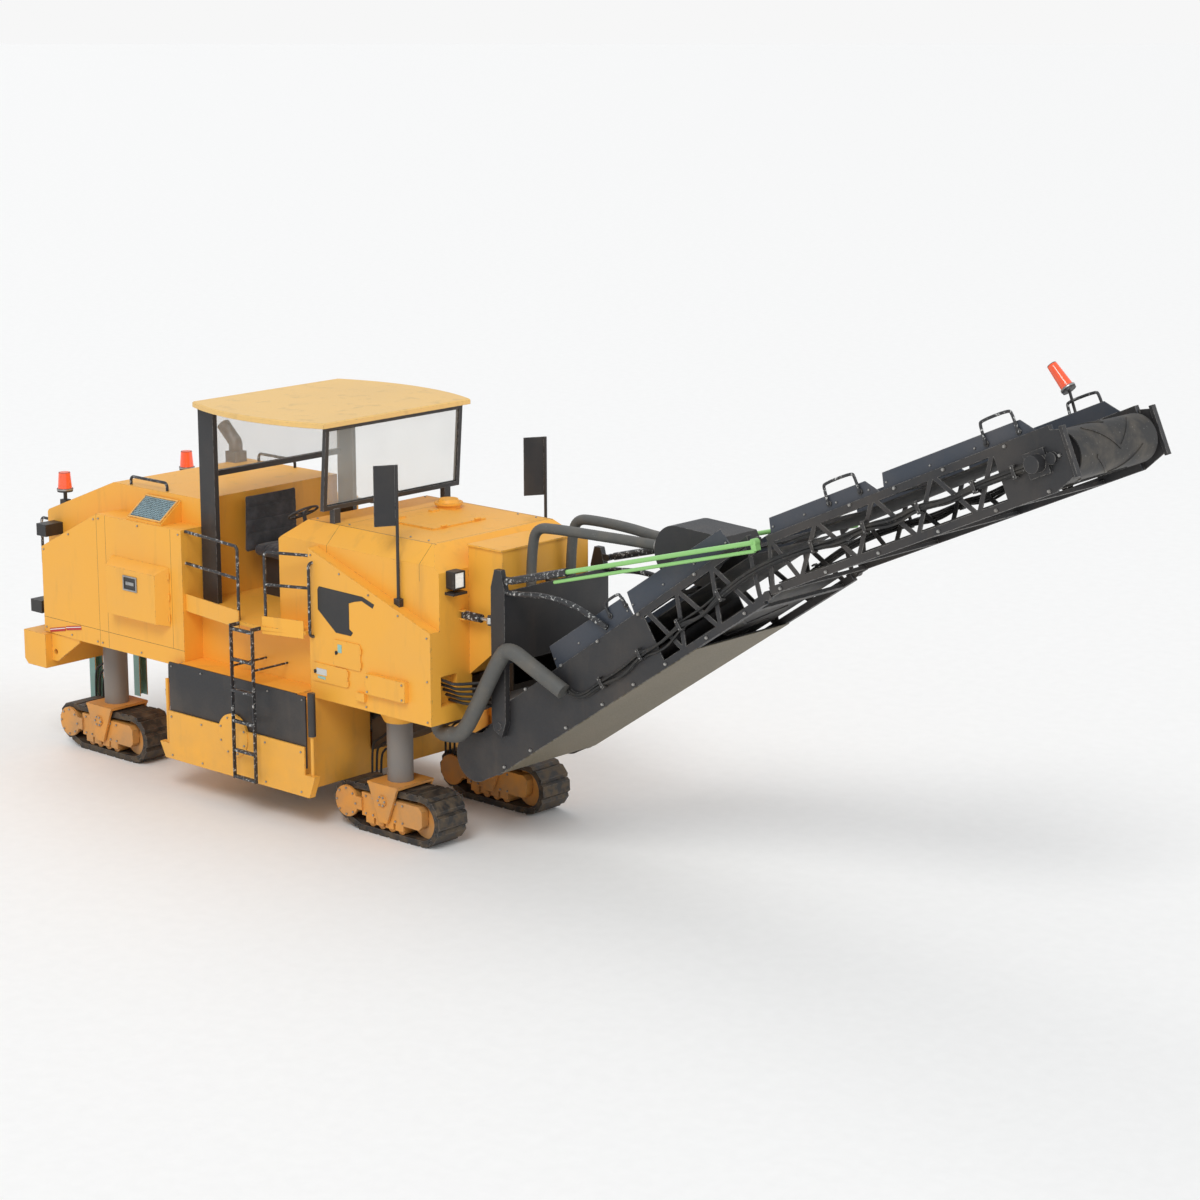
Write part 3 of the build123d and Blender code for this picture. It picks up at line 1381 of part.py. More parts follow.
# Ladders on both sides of the platform
LADDER_X = (-3050, -2690)
LADDER_Y = (1530, 1570)
LADDER_LOW = 430
RAIL_WIDE = 14
with BuildPart() as ladders:
    for hand in (1, -1):
        for x in (LADDER_X[0], LADDER_X[1] - RAIL_WIDE):
            with BuildSketch(Plane.XY.offset(LADDER_LOW)):
                with Locations((x + RAIL_WIDE / 2, hand * sum(LADDER_Y) / 2)):
                    Rectangle(RAIL_WIDE, LADDER_Y[1] - LADDER_Y[0])
            extrude(amount=FLOOR_TOP - LADDER_LOW)
            with BuildSketch(Plane.XY.offset(FLOOR_TOP - FLOOR_PLATE)):
                with Locations((x + RAIL_WIDE / 2, hand * (LANDING_HALF + LADDER_Y[1]) / 2)):
                    Rectangle(RAIL_WIDE, LADDER_Y[1] - LANDING_HALF)
            extrude(amount=FLOOR_PLATE)
            with BuildSketch(side(-hand * WALL_HALF)):
                with Locations((x + RAIL_WIDE / 2, 1680)):
                    Circle(12)
            extrude(amount=-hand * (LADDER_Y[0] - WALL_HALF))
        for level in (452, 749, 1074, 1417, 1760, 2097):
            with BuildSketch(Plane.XY.offset(level - 15)):
                with Locations((sum(LADDER_X) / 2, hand * sum(LADDER_Y) / 2)):
                    Rectangle(LADDER_X[1] - LADDER_X[0] - 2 * RAIL_WIDE, LADDER_Y[1] - LADDER_Y[0])
            extrude(amount=30)
save(ladders, "ladders")

# Mirrors on posts that stand on the front pods
MIRROR_X = -898
MIRROR_Y = 1105
with BuildPart() as mirrors:
    for hand in (1, -1):
        with BuildSketch(side(-hand * MIRROR_Y - 30)):
            Polygon((-938, 2623.2), (-938, 2680), (-858, 2680), (-858, 2595.2), align=None)
        extrude(amount=60)
        with BuildSketch(Plane.XY.offset(2670)):
            with Locations((MIRROR_X, hand * MIRROR_Y)):
                Circle(RAIL_R)
        extrude(amount=1415)
        corner = Vector(MIRROR_X, hand * MIRROR_Y, 3767)
        plate = Plane(origin=corner + Vector(-59, -105, 0), x_dir=(118, 210, 0), z_dir=(-210, 118, 0))
        with BuildSketch(plate):
            Rectangle(241, 636)
        extrude(amount=14)
        with BuildSketch(plate.offset(14)):
            RectangleRounded(225, 610, 30)
        extrude(amount=26, taper=20)
save(mirrors, "mirrors")

# Exhaust on the rear hood's left
EXHAUST_Y = 780
exhaust_pipe = tube([(-5607, EXHAUST_Y, 3395), (-5607, EXHAUST_Y, 3500), (-5820, EXHAUST_Y, 3690)], 80, 85)
with BuildPart() as exhaust:
    with BuildSketch(side(-EXHAUST_Y - 88)):
        Polygon(
            (-5695, 3400),
            (-5520, 3400),
            (-5520, 3273.89),
            (-5658, 3273),
            (-5695, 3258.591),
            align=None,
        )
    extrude(amount=176)
    add(exhaust_pipe)
save(exhaust, "exhaust")

# Lamps, reflectors and beacons of the rear body
with BuildPart() as lamps:
    add(work_lamps.part)
    for hand in (1, -1):
        for inner, outer, rear, front, low, high in (
            (REAR_HALF, 1250, -6790, -6620, 2540, 2680),
            (REAR_HALF, 1300, -6890, -6690, 1633, 1780),
        ):
            with BuildSketch(side(-hand * inner)):
                with Locations(((rear + front) / 2, (low + high) / 2)):
                    Rectangle(front - rear, high - low)
            extrude(amount=-hand * (outer - inner))
        with BuildSketch(side(-hand * REAR_POD_HALF)):
            Polygon(*bar((-6505, 1470), (-6225, 1530), 46), align=None)
            Polygon(*bar((-6205, 1540), (-5930, 1590), 46), align=None)
        extrude(amount=-hand * 8)
        # beacon on a foot that follows the slope of the hood
        with BuildSketch(side(-hand * 910 - 40)):
            Polygon((-6720, 2859.43), (-6720, 2930), (-6620, 2930), (-6620, 2898.37), align=None)
        extrude(amount=80)
        for low, radius, high in ((2920, 22, 3030), (3022, 90, 3062)):
            with BuildSketch(Plane.XY.offset(low)):
                with Locations((-6670, hand * 910)):
                    Circle(radius)
            extrude(amount=high - low)
        with BuildSketch(Plane.XY.offset(3062)):
            with Locations((-6670, hand * 910)):
                Circle(80)
        extrude(amount=188, taper=4.5)
save(lamps, "lamps")

# Bumper under the rear body, its gussets, and the pierced posts behind it
BUMPER = (-6912, -6512, 1027, 1430)
BUMPER_HALF = 1400
LASH_R = 32
POST_X = (-7020, -6912)
POST_Y = (270, 390)
with BuildPart() as bumper:
    with BuildSketch(side()):
        Polygon(
            (BUMPER[0], BUMPER[2] + 60),
            (BUMPER[0], BUMPER[3]),
            (BUMPER[1], BUMPER[3]),
            (BUMPER[1], BUMPER[2]),
            (BUMPER[0] + 60, BUMPER[2]),
            align=None,
        )
    extrude(amount=BUMPER_HALF, both=True)
    with BuildSketch(side(REAR_POD_HALF - 40)):
        Polygon((-6520, 1107), (-6520, 1430), (-5990, 1430), (-5990, 1400), (-6420, 1107), align=None)
        # lashing eye
        with Locations((-6440, 1220)):
            Circle(LASH_R, mode=Mode.SUBTRACT)
    extrude(amount=24)
    mirror(about=Plane.XZ)
    for low, high in (POST_Y, (-POST_Y[1], -POST_Y[0])):
        with BuildSketch(Plane.XY.offset(283)):
            with Locations(((POST_X[0] + POST_X[1]) / 2, (low + high) / 2)):
                Rectangle(POST_X[1] - POST_X[0], high - low)
                with Locations((8, 0)):
                    Rectangle(POST_X[1] - POST_X[0] - 8, high - low - 20, mode=Mode.SUBTRACT)
        extrude(amount=1950 - 283)
        with BuildSketch(Plane.YZ.offset(POST_X[0])):
            with Locations((0.5 * (low + high), 1150)):
                with GridLocations(60, 140, 1, 11):
                    Circle(24)
        extrude(amount=10, mode=Mode.SUBTRACT)
save(bumper, "bumper")

# Dust hoses from the slewing frame's shelf to the fan, and the sheathed hoses from the posts
DUST_R = 62
SHEATH_R = 30
dust_routes = [
    [
        (234, foot, 2130),
        (234, foot, 3470),
        (1000, foot, 3480),
        (1650, port, 3480),
        (FAN[0] - FAN_R - SEAT, port, 3480),
    ]
    for foot, port in ((-380, -150), (270, 130))
]
sheath_routes = [
    [
        (PANEL_FRONT + SEAT, hand * 745, 2871),
        (450, hand * 745, 2871),
        (800, hand * 745, 2925),
        (1250, hand * 720, 2880),
        (1650, hand * 702, 2715),
    ]
    for hand in (1, -1)
]
dust_tubes = [tube(route, DUST_R, [250, 300, 200]) for route in dust_routes]
sheath_tubes = [tube(route, SHEATH_R, [150, 300, 200]) for route in sheath_routes]
with BuildPart() as lift_hoses:
    for piece in dust_tubes + sheath_tubes:
        add(piece)
save(lift_hoses, "lift_hoses")

# Large sleeve on each side, and the hoses from the posts into the recess of the pod
SLEEVE_R = 85
SLEEVE_END = (1153, 800, 1988)
HOSE_R = 16
sleeve_tubes = []
supply_tubes = []
for hand in (1, -1):
    sleeve_tubes.append(
        tube(
            [
                (SLEEVE_END[0], hand * SLEEVE_END[1], SLEEVE_END[2]),
                (429, hand * 884, 2361),
                (-216, hand * 900, 1294),
                (-560, hand * 900, 1290),
                (-560, hand * 900, POD_BOTTOM - SEAT),
            ],
            SLEEVE_R,
            [250, 200, 110],
        )
    )
    for step in range(5):
        start_y = hand * (860 + 40 * step)
        level = 1640 + 62 * step
        supply_tubes.append(
            tube(
                [
                    (HOOD_FRONT - 90 + SEAT, start_y, level),
                    (-230, start_y, level),
                    (-40, hand * 749, level),
                    (121 - SEAT, hand * 749, level),
                ],
                HOSE_R,
                [70, 70],
            )
        )
with BuildPart() as slew_hoses:
    for piece in sleeve_tubes + supply_tubes:
        add(piece)
save(slew_hoses, "slew_hoses")

# Cables along the conveyor from the sleeve to the motor at its head
CABLE_R = 12
cable_tubes = []
for hand in (1, -1):
    for across, out in ((-26, 13), (0, 13), (26, 13), (-13, 38), (13, 38)):
        y = hand * (CONV_HALF + out)
        up = Vector(-0.58, 0, 0.81) * across
        motor = up_side().from_local_coords((3364.7, 290 + across, 0))
        cable_tubes.append(
            tube(
                [
                    (1160 + across * 0.45, y, 1984 + across * 0.88),
                    (1290 + up.X, y, 1913 + up.Z),
                    (3605 + up.X, y, 3625 + up.Z),
                    (motor.X, y, motor.Z),
                ],
                CABLE_R,
                [70, 300],
            )
        )
with BuildPart() as conveyor_cables:
    for piece in cable_tubes:
        add(piece)
save(conveyor_cables, "conveyor_cables")

# Hoses from the body down to the drive of each track
track_tubes = []
for end, leg_x in TRACK_X.items():
    for hand in (1, -1):
        line_y = hand * (TRACK_Y - 234)
        for step, foot_z in enumerate((476, 476, 446)):
            high_x = leg_x - 260 - 70 * step
            low_x = leg_x - 549 - 70 * step
            track_tubes.append(
                tube(
                    [
                        (high_x, line_y, leg_tops[end] - SEAT),
                        (high_x, line_y, 900 + 40 * step),
                        (low_x, line_y, 760 + 40 * step),
                        (low_x, line_y, foot_z),
                    ],
                    HOSE_R - 4,
                    [90, 90],
                )
            )
with BuildPart() as track_hoses:
    for piece in track_tubes:
        add(piece)
save(track_hoses, "track_hoses")
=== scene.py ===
import math

import bmesh
import bpy
from mathutils import Matrix, Vector


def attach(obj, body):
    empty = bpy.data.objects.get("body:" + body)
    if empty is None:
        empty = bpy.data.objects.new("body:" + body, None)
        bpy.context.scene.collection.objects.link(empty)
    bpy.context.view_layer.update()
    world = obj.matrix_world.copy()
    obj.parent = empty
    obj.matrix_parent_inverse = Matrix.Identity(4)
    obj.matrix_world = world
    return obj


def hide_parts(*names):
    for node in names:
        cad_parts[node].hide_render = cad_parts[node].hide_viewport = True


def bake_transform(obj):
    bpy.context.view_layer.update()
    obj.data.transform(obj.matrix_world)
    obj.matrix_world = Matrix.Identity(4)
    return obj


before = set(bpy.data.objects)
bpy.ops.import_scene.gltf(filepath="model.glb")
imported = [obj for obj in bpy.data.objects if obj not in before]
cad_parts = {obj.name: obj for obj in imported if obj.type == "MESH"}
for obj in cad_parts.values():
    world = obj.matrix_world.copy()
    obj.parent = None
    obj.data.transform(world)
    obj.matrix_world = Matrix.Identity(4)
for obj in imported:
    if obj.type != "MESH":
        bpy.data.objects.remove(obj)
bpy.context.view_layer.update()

# Sizes shared with the solids, in metres
POD_SIDE = 1.209
REAR_POD_SIDE = 1.323
CONVEYOR_SIDE = 0.708
SKIRT_FACE = 0.662
LOW_FOOT = Vector((0.122, 0, 0.892))
LOW_SLOPE = math.radians(33.74)
UP_FOOT = Vector((3.642, 0, 3.324))
UP_SLOPE = math.radians(23.86)
SIDES = (("left", 1), ("right", -1))
UP = (0, 0, 1)
DRUM_X, DRUM_Z = -3.172, 0.855
TRACK_Y = 0.79
# end, X of the leg, height at which the track's hoses leave it
TRACK_LEGS = (("front", -1.245, 1.427), ("rear", -6.010, 1.430))
# the cables' first bend, their bend at the fold and their end on the upper section
CABLE_TURN_X, CABLE_TURN_Z = 1.290, 1.913
CABLE_FOLD_X, CABLE_FOLD_Z = 3.605, 3.625
CABLE_END_ALONG, CABLE_END_OUT = 3.3647, 0.290
# piece, Y of the foot, Y of the port on the fan
DUST_HOSES = (("dust_hose_right", -0.325, -0.150), ("dust_hose_left", 0.270, 0.130))
DUST_X, DUST_HIGH = 0.247, 3.480
WORK_LAMPS = (0.89, -0.89)

# Paints and finishes, as the photograph shows them
YELLOW = (0.92, 0.445, 0.052)
YELLOW_PALE = (0.85, 0.54, 0.18)
CHARCOAL = (0.025, 0.025, 0.027)
SKIRT_BLUE = (0.042, 0.052, 0.070)
BELLY_TAN = (0.115, 0.092, 0.048)
DARK_BROWN = (0.05, 0.038, 0.028)
TEAL = (0.26, 0.50, 0.46)
GREEN = (0.30, 0.62, 0.20)
HOSE_GREY = (0.105, 0.105, 0.098)
BEACON_RED = (0.86, 0.10, 0.03)
DUST = (0.30, 0.22, 0.14)


def placed(name, data):
    """A new object of this data, linked to the scene."""
    made = bpy.data.objects.new(name, data)
    bpy.context.scene.collection.objects.link(made)
    return made


def mesh_of(name, bm, material=None):
    """Turns mesh work into mesh data and frees it."""
    mesh = bpy.data.meshes.new(name)
    bm.to_mesh(mesh)
    bm.free()
    if material:
        mesh.materials.append(material)
    return mesh


def evaluated_mesh(obj):
    """The object's mesh with its modifiers applied, as new mesh data."""
    bpy.context.view_layer.update()
    return bpy.data.meshes.new_from_object(obj.evaluated_get(bpy.context.evaluated_depsgraph_get()))


class Tree:
    """A node tree with short calls for adding nodes and feeding their inputs."""

    def __init__(self, tree):
        self.tree = tree

    def feed(self, socket, value):
        if isinstance(value, bpy.types.NodeSocket):
            self.tree.links.new(value, socket)
        else:
            socket.default_value = value

    def add(self, kind, inputs=None, **values):
        node = self.tree.nodes.new(kind)
        for key, value in values.items():
            setattr(node, key, value)
        for key, value in (inputs or {}).items():
            self.feed(node.inputs[key], value)
        return node

    def math(self, kind, first, second=0.0, clamp=False):
        clamp = clamp and kind in {"MULTIPLY", "ADD"}
        return self.add("ShaderNodeMath", {0: first, 1: second}, operation=kind, use_clamp=clamp).outputs[0]


class Recipe(Tree):
    """A material's node tree."""

    def __init__(self, name):
        self.material = bpy.data.materials.new(name)
        self.material.use_nodes = True
        super().__init__(self.material.node_tree)
        self.shader = self.tree.nodes["Principled BSDF"]
        self.place = self.add("ShaderNodeTexCoord").outputs["Object"]

    def math(self, kind, first, second=0.0, clamp=True):
        return super().math(kind, first, second, clamp)

    def noise(self, scale, detail=4.0, stretch=(1, 1, 1), rough=0.6):
        mapping = self.add("ShaderNodeMapping", {"Scale": stretch, "Vector": self.place})
        settings = {"Scale": scale, "Detail": detail, "Roughness": rough, "Vector": mapping.outputs["Vector"]}
        return self.add("ShaderNodeTexNoise", settings).outputs["Fac"]

    def ramp(self, value, low, high):
        return self.add("ShaderNodeMapRange", {"From Min": low, "From Max": high, "Value": value}).outputs["Result"]

    def mix(self, share, first, second):
        first, second = ((*value, 1) if isinstance(value, tuple) else value for value in (first, second))
        return self.add("ShaderNodeMix", {0: share, 6: first, 7: second}, data_type="RGBA").outputs[2]

    def axes(self):
        return self.add("ShaderNodeSeparateXYZ", {0: self.place}).outputs

    def edge_wear(self, radius):
        """1 along convex and concave edges, 0 on flat faces."""
        rounded = self.add("ShaderNodeBevel", {"Radius": radius}, samples=4).outputs[0]
        flat = self.add("ShaderNodeNewGeometry").outputs["Normal"]
        dot = self.add("ShaderNodeVectorMath", {0: rounded, 1: flat}, operation="DOT_PRODUCT")
        return self.ramp(self.math("SUBTRACT", 1.0, dot.outputs["Value"]), 0.02, 0.16)

    def bump(self, height, strength, distance=0.002, rounded=0.006):
        node = self.add("ShaderNodeBump", {"Strength": strength, "Distance": distance, "Height": height})
        if rounded:
            soft = self.add("ShaderNodeBevel", {"Radius": rounded}, samples=4)
            self.feed(node.inputs["Normal"], soft.outputs[0])
        self.feed(self.shader.inputs["Normal"], node.outputs["Normal"])

    def finish(self, colour, roughness, metallic=0.0):
        for label, value in (("Base Color", colour), ("Roughness", roughness), ("Metallic", metallic)):
            self.feed(self.shader.inputs[label], value)
        return self.material


def zones_mask(recipe, zones):
    """1 inside any of these boxes of |Y| and place, each (axis, low, high) list being one box."""
    x, y, z = recipe.axes()[:3]
    span = recipe.math("ABSOLUTE", y)
    axis = {"x": x, "y": span, "z": z, "side": y}
    total = None
    for limits in zones:
        inside = None
        for name, low, high in limits:
            if name not in axis:
                # a slanting axis, given by its shares of X and Z
                parts = recipe.math("MULTIPLY", x, name[0], False), recipe.math("MULTIPLY", z, name[1], False)
                axis[name] = recipe.math("ADD", *parts, False)
            above = recipe.math("GREATER_THAN", axis[name], low)
            below = recipe.math("LESS_THAN", axis[name], high)
            both = recipe.math("MULTIPLY", above, below)
            inside = both if inside is None else recipe.math("MULTIPLY", inside, both)
        total = inside if total is None else recipe.math("ADD", total, inside)
    return total


def worn_paint(name, paint, wear=0.5, dirt=0.5, chip=(0.10, 0.085, 0.075), gloss=0.42, zones=(), edge=0.010):
    """Paint with uneven tone, streaks, dust low down, scratches and chipped edges."""
    r = Recipe(name)
    tone = r.noise(0.9, 6)
    streak = r.noise(5.0, 5, (1, 1, 0.18))
    speck = r.noise(60.0, 3)
    scratch = r.noise(14.0, 8, (0.25, 1, 2.4), 0.75)
    colour = paint
    for other, limits in zones:
        colour = r.mix(zones_mask(r, limits), colour, other)
    dull = r.mix(0.5, colour, (0.40, 0.30, 0.20)) if dirt > 0 else colour
    colour = r.mix(r.math("MULTIPLY", r.ramp(tone, 0.42, 0.72), 0.30 * dirt + 0.05), colour, dull)
    colour = r.mix(r.math("MULTIPLY", r.ramp(streak, 0.56, 0.80), 0.45 * dirt), colour, (0.16, 0.11, 0.07))
    height = r.axes()[2]
    low = r.math("MULTIPLY", r.ramp(height, 1.3, 0.1), r.ramp(r.noise(3.2, 6), 0.35, 0.65))
    colour = r.mix(r.math("MULTIPLY", low, 0.55 * dirt), colour, DUST)
    edges = r.edge_wear(edge)
    ragged = r.math("MULTIPLY", edges, r.ramp(r.noise(22.0, 6), 0.60 - 0.22 * wear, 0.70 - 0.2 * wear))
    lines = r.math("MULTIPLY", r.ramp(scratch, 0.70, 0.76), 0.5 * wear)
    worn = r.math("ADD", ragged, lines)
    colour = r.mix(r.math("MULTIPLY", worn, 0.85), colour, chip)
    rough = r.math("ADD", r.math("MULTIPLY", r.ramp(speck, 0.3, 0.7), 0.14), gloss)
    r.bump(r.math("ADD", r.math("MULTIPLY", speck, 0.25), r.math("MULTIPLY", worn, -0.6)), 0.25, 0.0015)
    return r.finish(colour, rough)


def bare_metal(name, metal, rough=0.42, stain=(0.10, 0.055, 0.03), amount=0.5, metallic=0.85):
    """Worked steel with stains and fine marks."""
    r = Recipe(name)
    patches = r.ramp(r.noise(6.0, 8), 0.48, 0.66)
    fine = r.noise(90.0, 3)
    brushed = r.noise(30.0, 4, (1, 1, 0.15))
    colour = r.mix(r.math("MULTIPLY", patches, amount), metal, stain)
    colour = r.mix(r.math("MULTIPLY", r.ramp(brushed, 0.4, 0.7), 0.25), colour, (0.5, 0.49, 0.46))
    r.bump(r.math("ADD", fine, r.math("MULTIPLY", patches, 0.5)), 0.2, 0.001, 0.004)
    return r.finish(colour, r.math("ADD", r.math("MULTIPLY", patches, 0.3), rough), metallic)


def track_steel(name):
    """Dark shoes polished on their ridges, with packed earth in patches."""
    r = Recipe(name)
    earth = r.ramp(r.noise(9.0, 9), 0.42, 0.62)
    colour = r.mix(r.math("MULTIPLY", earth, 0.75), (0.035, 0.032, 0.03), (0.16, 0.115, 0.07))
    edges = r.math("MULTIPLY", r.edge_wear(0.008), r.ramp(r.noise(30, 4), 0.35, 0.6))
    colour = r.mix(edges, colour, (0.28, 0.26, 0.24))
    r.bump(r.math("ADD", earth, r.noise(70, 4)), 0.5, 0.003, 0.005)
    return r.finish(colour, r.math("ADD", r.math("MULTIPLY", earth, 0.3), 0.5), 0.3)


def mottled_tube(name, paint=(0.030, 0.030, 0.032)):
    """Black tube whose paint is rubbed through to pale primer in blotches."""
    r = Recipe(name)
    blotch = r.ramp(r.noise(26.0, 8, rough=0.7), 0.56, 0.60)
    colour = r.mix(blotch, paint, (0.52, 0.52, 0.50))
    r.bump(r.math("MULTIPLY", blotch, -1.0), 0.4, 0.0012, 0)
    return r.finish(colour, 0.48)


def rubber(name, base, ribs=0.0, dust=0.35):
    """Hose or belt rubber with dust, and a fine bump grain whose scale ribs sets where it is given."""
    r = Recipe(name)
    patch = r.ramp(r.noise(4.0, 7), 0.45, 0.7)
    colour = r.mix(r.math("MULTIPLY", patch, dust), base, (0.20, 0.165, 0.12))
    colour = r.mix(r.ramp(r.noise(40.0, 3), 0.66, 0.74), colour, (0.22, 0.21, 0.2))
    r.bump(r.noise(120.0 if not ribs else ribs, 2), 0.25, 0.0015, 0)
    return r.finish(colour, 0.62)


def window_pane(name):
    """Slightly green pane with patches of dust."""
    r = Recipe(name)
    haze = r.ramp(r.noise(3.0, 5), 0.35, 0.75)
    colour = r.mix(haze, (0.72, 0.76, 0.74), (0.55, 0.57, 0.54))
    r.shader.inputs["Alpha"].default_value = 0.22
    return r.finish(colour, 0.08)


def lamp_lens(name, tint, glow=0.0):
    r = Recipe(name)
    rings = r.math("SINE", r.math("MULTIPLY", r.axes()[2], 420.0))
    colour = r.mix(r.ramp(r.noise(30, 3), 0.5, 0.8), tint, tuple(0.7 * part for part in tint))
    r.bump(rings, 0.35, 0.001, 0)
    r.shader.inputs["Coat Weight"].default_value = 0.6
    if glow:
        r.shader.inputs["Emission Color"].default_value = (*tint, 1)
        r.shader.inputs["Emission Strength"].default_value = glow
    return r.finish(colour, 0.18)


def woven_cloth(name, base):
    r = Recipe(name)
    weave = r.add("ShaderNodeTexChecker", {"Scale": 420.0, "Vector": r.place})
    fade = r.ramp(r.noise(7.0, 6), 0.4, 0.7)
    colour = r.mix(r.math("MULTIPLY", fade, 0.4), base, (0.12, 0.12, 0.13))
    r.bump(weave.outputs["Fac"], 0.3, 0.0008, 0)
    r.shader.inputs["Sheen Weight"].default_value = 0.25
    return r.finish(colour, 0.85)


SEAM = 0.0022
seam_lines = [
    # rear pods: upright and level joints of the panels
    [("x", -5.585 - SEAM, -5.585 + SEAM), ("y", 1.30, 1.4), ("z", 1.44, 2.97)],
    [("x", -5.430 - SEAM, -5.430 + SEAM), ("y", 1.30, 1.4), ("z", 1.44, 2.97)],
    [("x", -6.61, -4.105), ("y", 1.30, 1.4), ("z", 1.620 - SEAM, 1.620 + SEAM)],
    [("x", -4.290 - SEAM, -4.290 + SEAM), ("y", 1.30, 1.4), ("z", 1.62, 2.97)],
    # hood: joints across the deck and beside it
    [("x", -0.62 - SEAM, -0.62 + SEAM), ("y", 0, 1.08), ("z", 2.9, 3.4)],
    [("x", -2.02 - SEAM, -2.02 + SEAM), ("y", 0, 1.08), ("z", 2.9, 3.4)],
    [("x", -2.6, -0.4), ("y", 0.86, 0.87), ("z", 3.255, 3.27)],
]
yellow = worn_paint("machine_yellow", YELLOW, wear=0.45, dirt=0.45, zones=[((0.06, 0.035, 0.015), seam_lines)])
yellow_lip = worn_paint("yellow_edge", (0.88, 0.46, 0.10), wear=0.7, dirt=0.3)
canopy_yellow = worn_paint("canopy_yellow", YELLOW_PALE, wear=0.55, dirt=0.7)
housing_paint = worn_paint(
    "housing_paint",
    YELLOW,
    wear=0.6,
    dirt=0.6,
    zones=[
        (CHARCOAL, [[("y", 1.4003, 1.6), ("z", 0.60, 1.50)]]),
        (DARK_BROWN, [[("y", 0, 1.1), ("z", 0.3, 1.36), ("x", -3.68, -2.6)]]),
    ],
)
charcoal = worn_paint("charcoal_steel", CHARCOAL, wear=0.8, dirt=0.35, chip=(0.30, 0.29, 0.27), gloss=0.40)
conveyor_paint = worn_paint(
    "conveyor_paint",
    CHARCOAL,
    wear=0.85,
    dirt=0.4,
    chip=(0.33, 0.31, 0.28),
    zones=[
        (SKIRT_BLUE, [[("y", 0.6515, 0.6628), ("z", 1.5, 6.0)]]),
        (BELLY_TAN, [[("x", 0.1, 2.9), ((-0.5554, 0.8316), 0.60, 0.6739)]]),
    ],
)
lamp_bodies = worn_paint(
    "lamp_bodies",
    (0.022, 0.022, 0.024),
    wear=0.4,
    dirt=0.2,
    chip=(0.25, 0.24, 0.22),
    zones=[
        ((0.50, 0.025, 0.02), [[("y", 1.322, 1.34), ("z", 1.4, 1.7)]]),
        ((0.78, 0.76, 0.72), [[((-0.2095, 0.9778), 2.803, 2.813), ("y", 1.322, 1.34), ("x", -6.6, -6.215)]]),
        ((0.78, 0.76, 0.72), [[((-0.1789, 0.9839), 2.628, 2.638), ("y", 1.322, 1.34), ("x", -6.215, -5.8)]]),
    ],
)
brown_dark = worn_paint("earth_stained_steel", DARK_BROWN, wear=0.6, dirt=0.9, chip=(0.2, 0.15, 0.1), gloss=0.55)
carrier_paint = worn_paint(
    "carrier_yellow",
    (0.78, 0.33, 0.05),
    wear=0.8,
    dirt=0.95,
    chip=(0.12, 0.07, 0.04),
    zones=[((0.20, 0.19, 0.18), [[("z", 0.602, 1.7)]])],
)
bumper_plates = [("x", -7.2, -6.9125), ("y", 0.2, 0.5)]
bumper_paint = worn_paint("bumper_yellow", YELLOW, wear=0.6, dirt=0.6, zones=[(TEAL, [bumper_plates])])
shoes = track_steel("track_shoes")
drum_steel = bare_metal("drum_steel", (0.22, 0.20, 0.18), 0.5, amount=0.7)
rod_steel = bare_metal("rod_steel", (0.62, 0.62, 0.60), 0.22, amount=0.12)
stained_steel = bare_metal("stained_steel", (0.20, 0.18, 0.16), 0.45, amount=0.55)
green_paint = worn_paint("green_rods", GREEN, wear=0.3, dirt=0.15, gloss=0.3)
mottled = mottled_tube("rubbed_black_tube")
belt_rubber = rubber("belt_rubber", (0.030, 0.029, 0.028))
hose_grey = rubber("hose_grey", HOSE_GREY, ribs=160.0)
hose_black = rubber("hose_black", (0.018, 0.018, 0.018), dust=0.2)
pane = window_pane("window_pane")
mirror_glass = bare_metal("mirror_glass", (0.75, 0.78, 0.80), 0.05, amount=0.0, metallic=1.0)
beacon_lens = lamp_lens("beacon_lens", BEACON_RED, 0.25)
reflector_red = lamp_lens("reflector_red", (0.55, 0.03, 0.02))
work_lens = lamp_lens("work_lamp_lens", (0.80, 0.82, 0.80), 0.3)
mesh_blue = worn_paint("intake_mesh_blue", (0.42, 0.60, 0.66), wear=0.3, dirt=0.4)
seat_cloth = woven_cloth("seat_cloth", (0.020, 0.022, 0.028))

painted_nodes = {
    "front_body": yellow,
    "pod_skins": yellow,
    "deck_fittings": yellow,
    "deck_hatch": yellow,
    "middle_frame": yellow,
    "platform": yellow,
    "rear_hood": yellow,
    "rear_pods": yellow,
    "consoles": charcoal,
    "engine_block": charcoal,
    "cutter_housing": housing_paint,
    "side_plate_left": yellow,
    "side_plate_right": yellow,
    "plate_cylinders": charcoal,
    "milling_drum": drum_steel,
    "canopy_roof": canopy_yellow,
    "canopy_frame": charcoal,
    "glass": pane,
    "inner_conveyor": brown_dark,
    "slewing_frame": charcoal,
    "lower_frame": conveyor_paint,
    "upper_frame": conveyor_paint,
    "lower_belt": belt_rubber,
    "upper_belt": belt_rubber,
    "dust_fan": charcoal,
    "lift_barrels": mottled,
    "lift_rods": green_paint,
    "handrails": mottled,
    "ladders": mottled,
    "mirrors": charcoal,
    "exhaust": stained_steel,
    "bumper": bumper_paint,
    "lamps": lamp_bodies,
}
for node_name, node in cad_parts.items():
    finish = painted_nodes.get(node_name)
    if node_name.startswith(("pod_door", "service_door")):
        finish = yellow
    elif node_name.startswith("carrier"):
        finish = carrier_paint
    elif node_name.startswith("track_") and node_name != "track_hoses":
        finish = shoes
    elif node_name.startswith("slew_barrel"):
        finish = mottled
    elif node_name.startswith("slew_rod"):
        finish = rod_steel
    if finish:
        node.data.materials.clear()
        node.data.materials.append(finish)


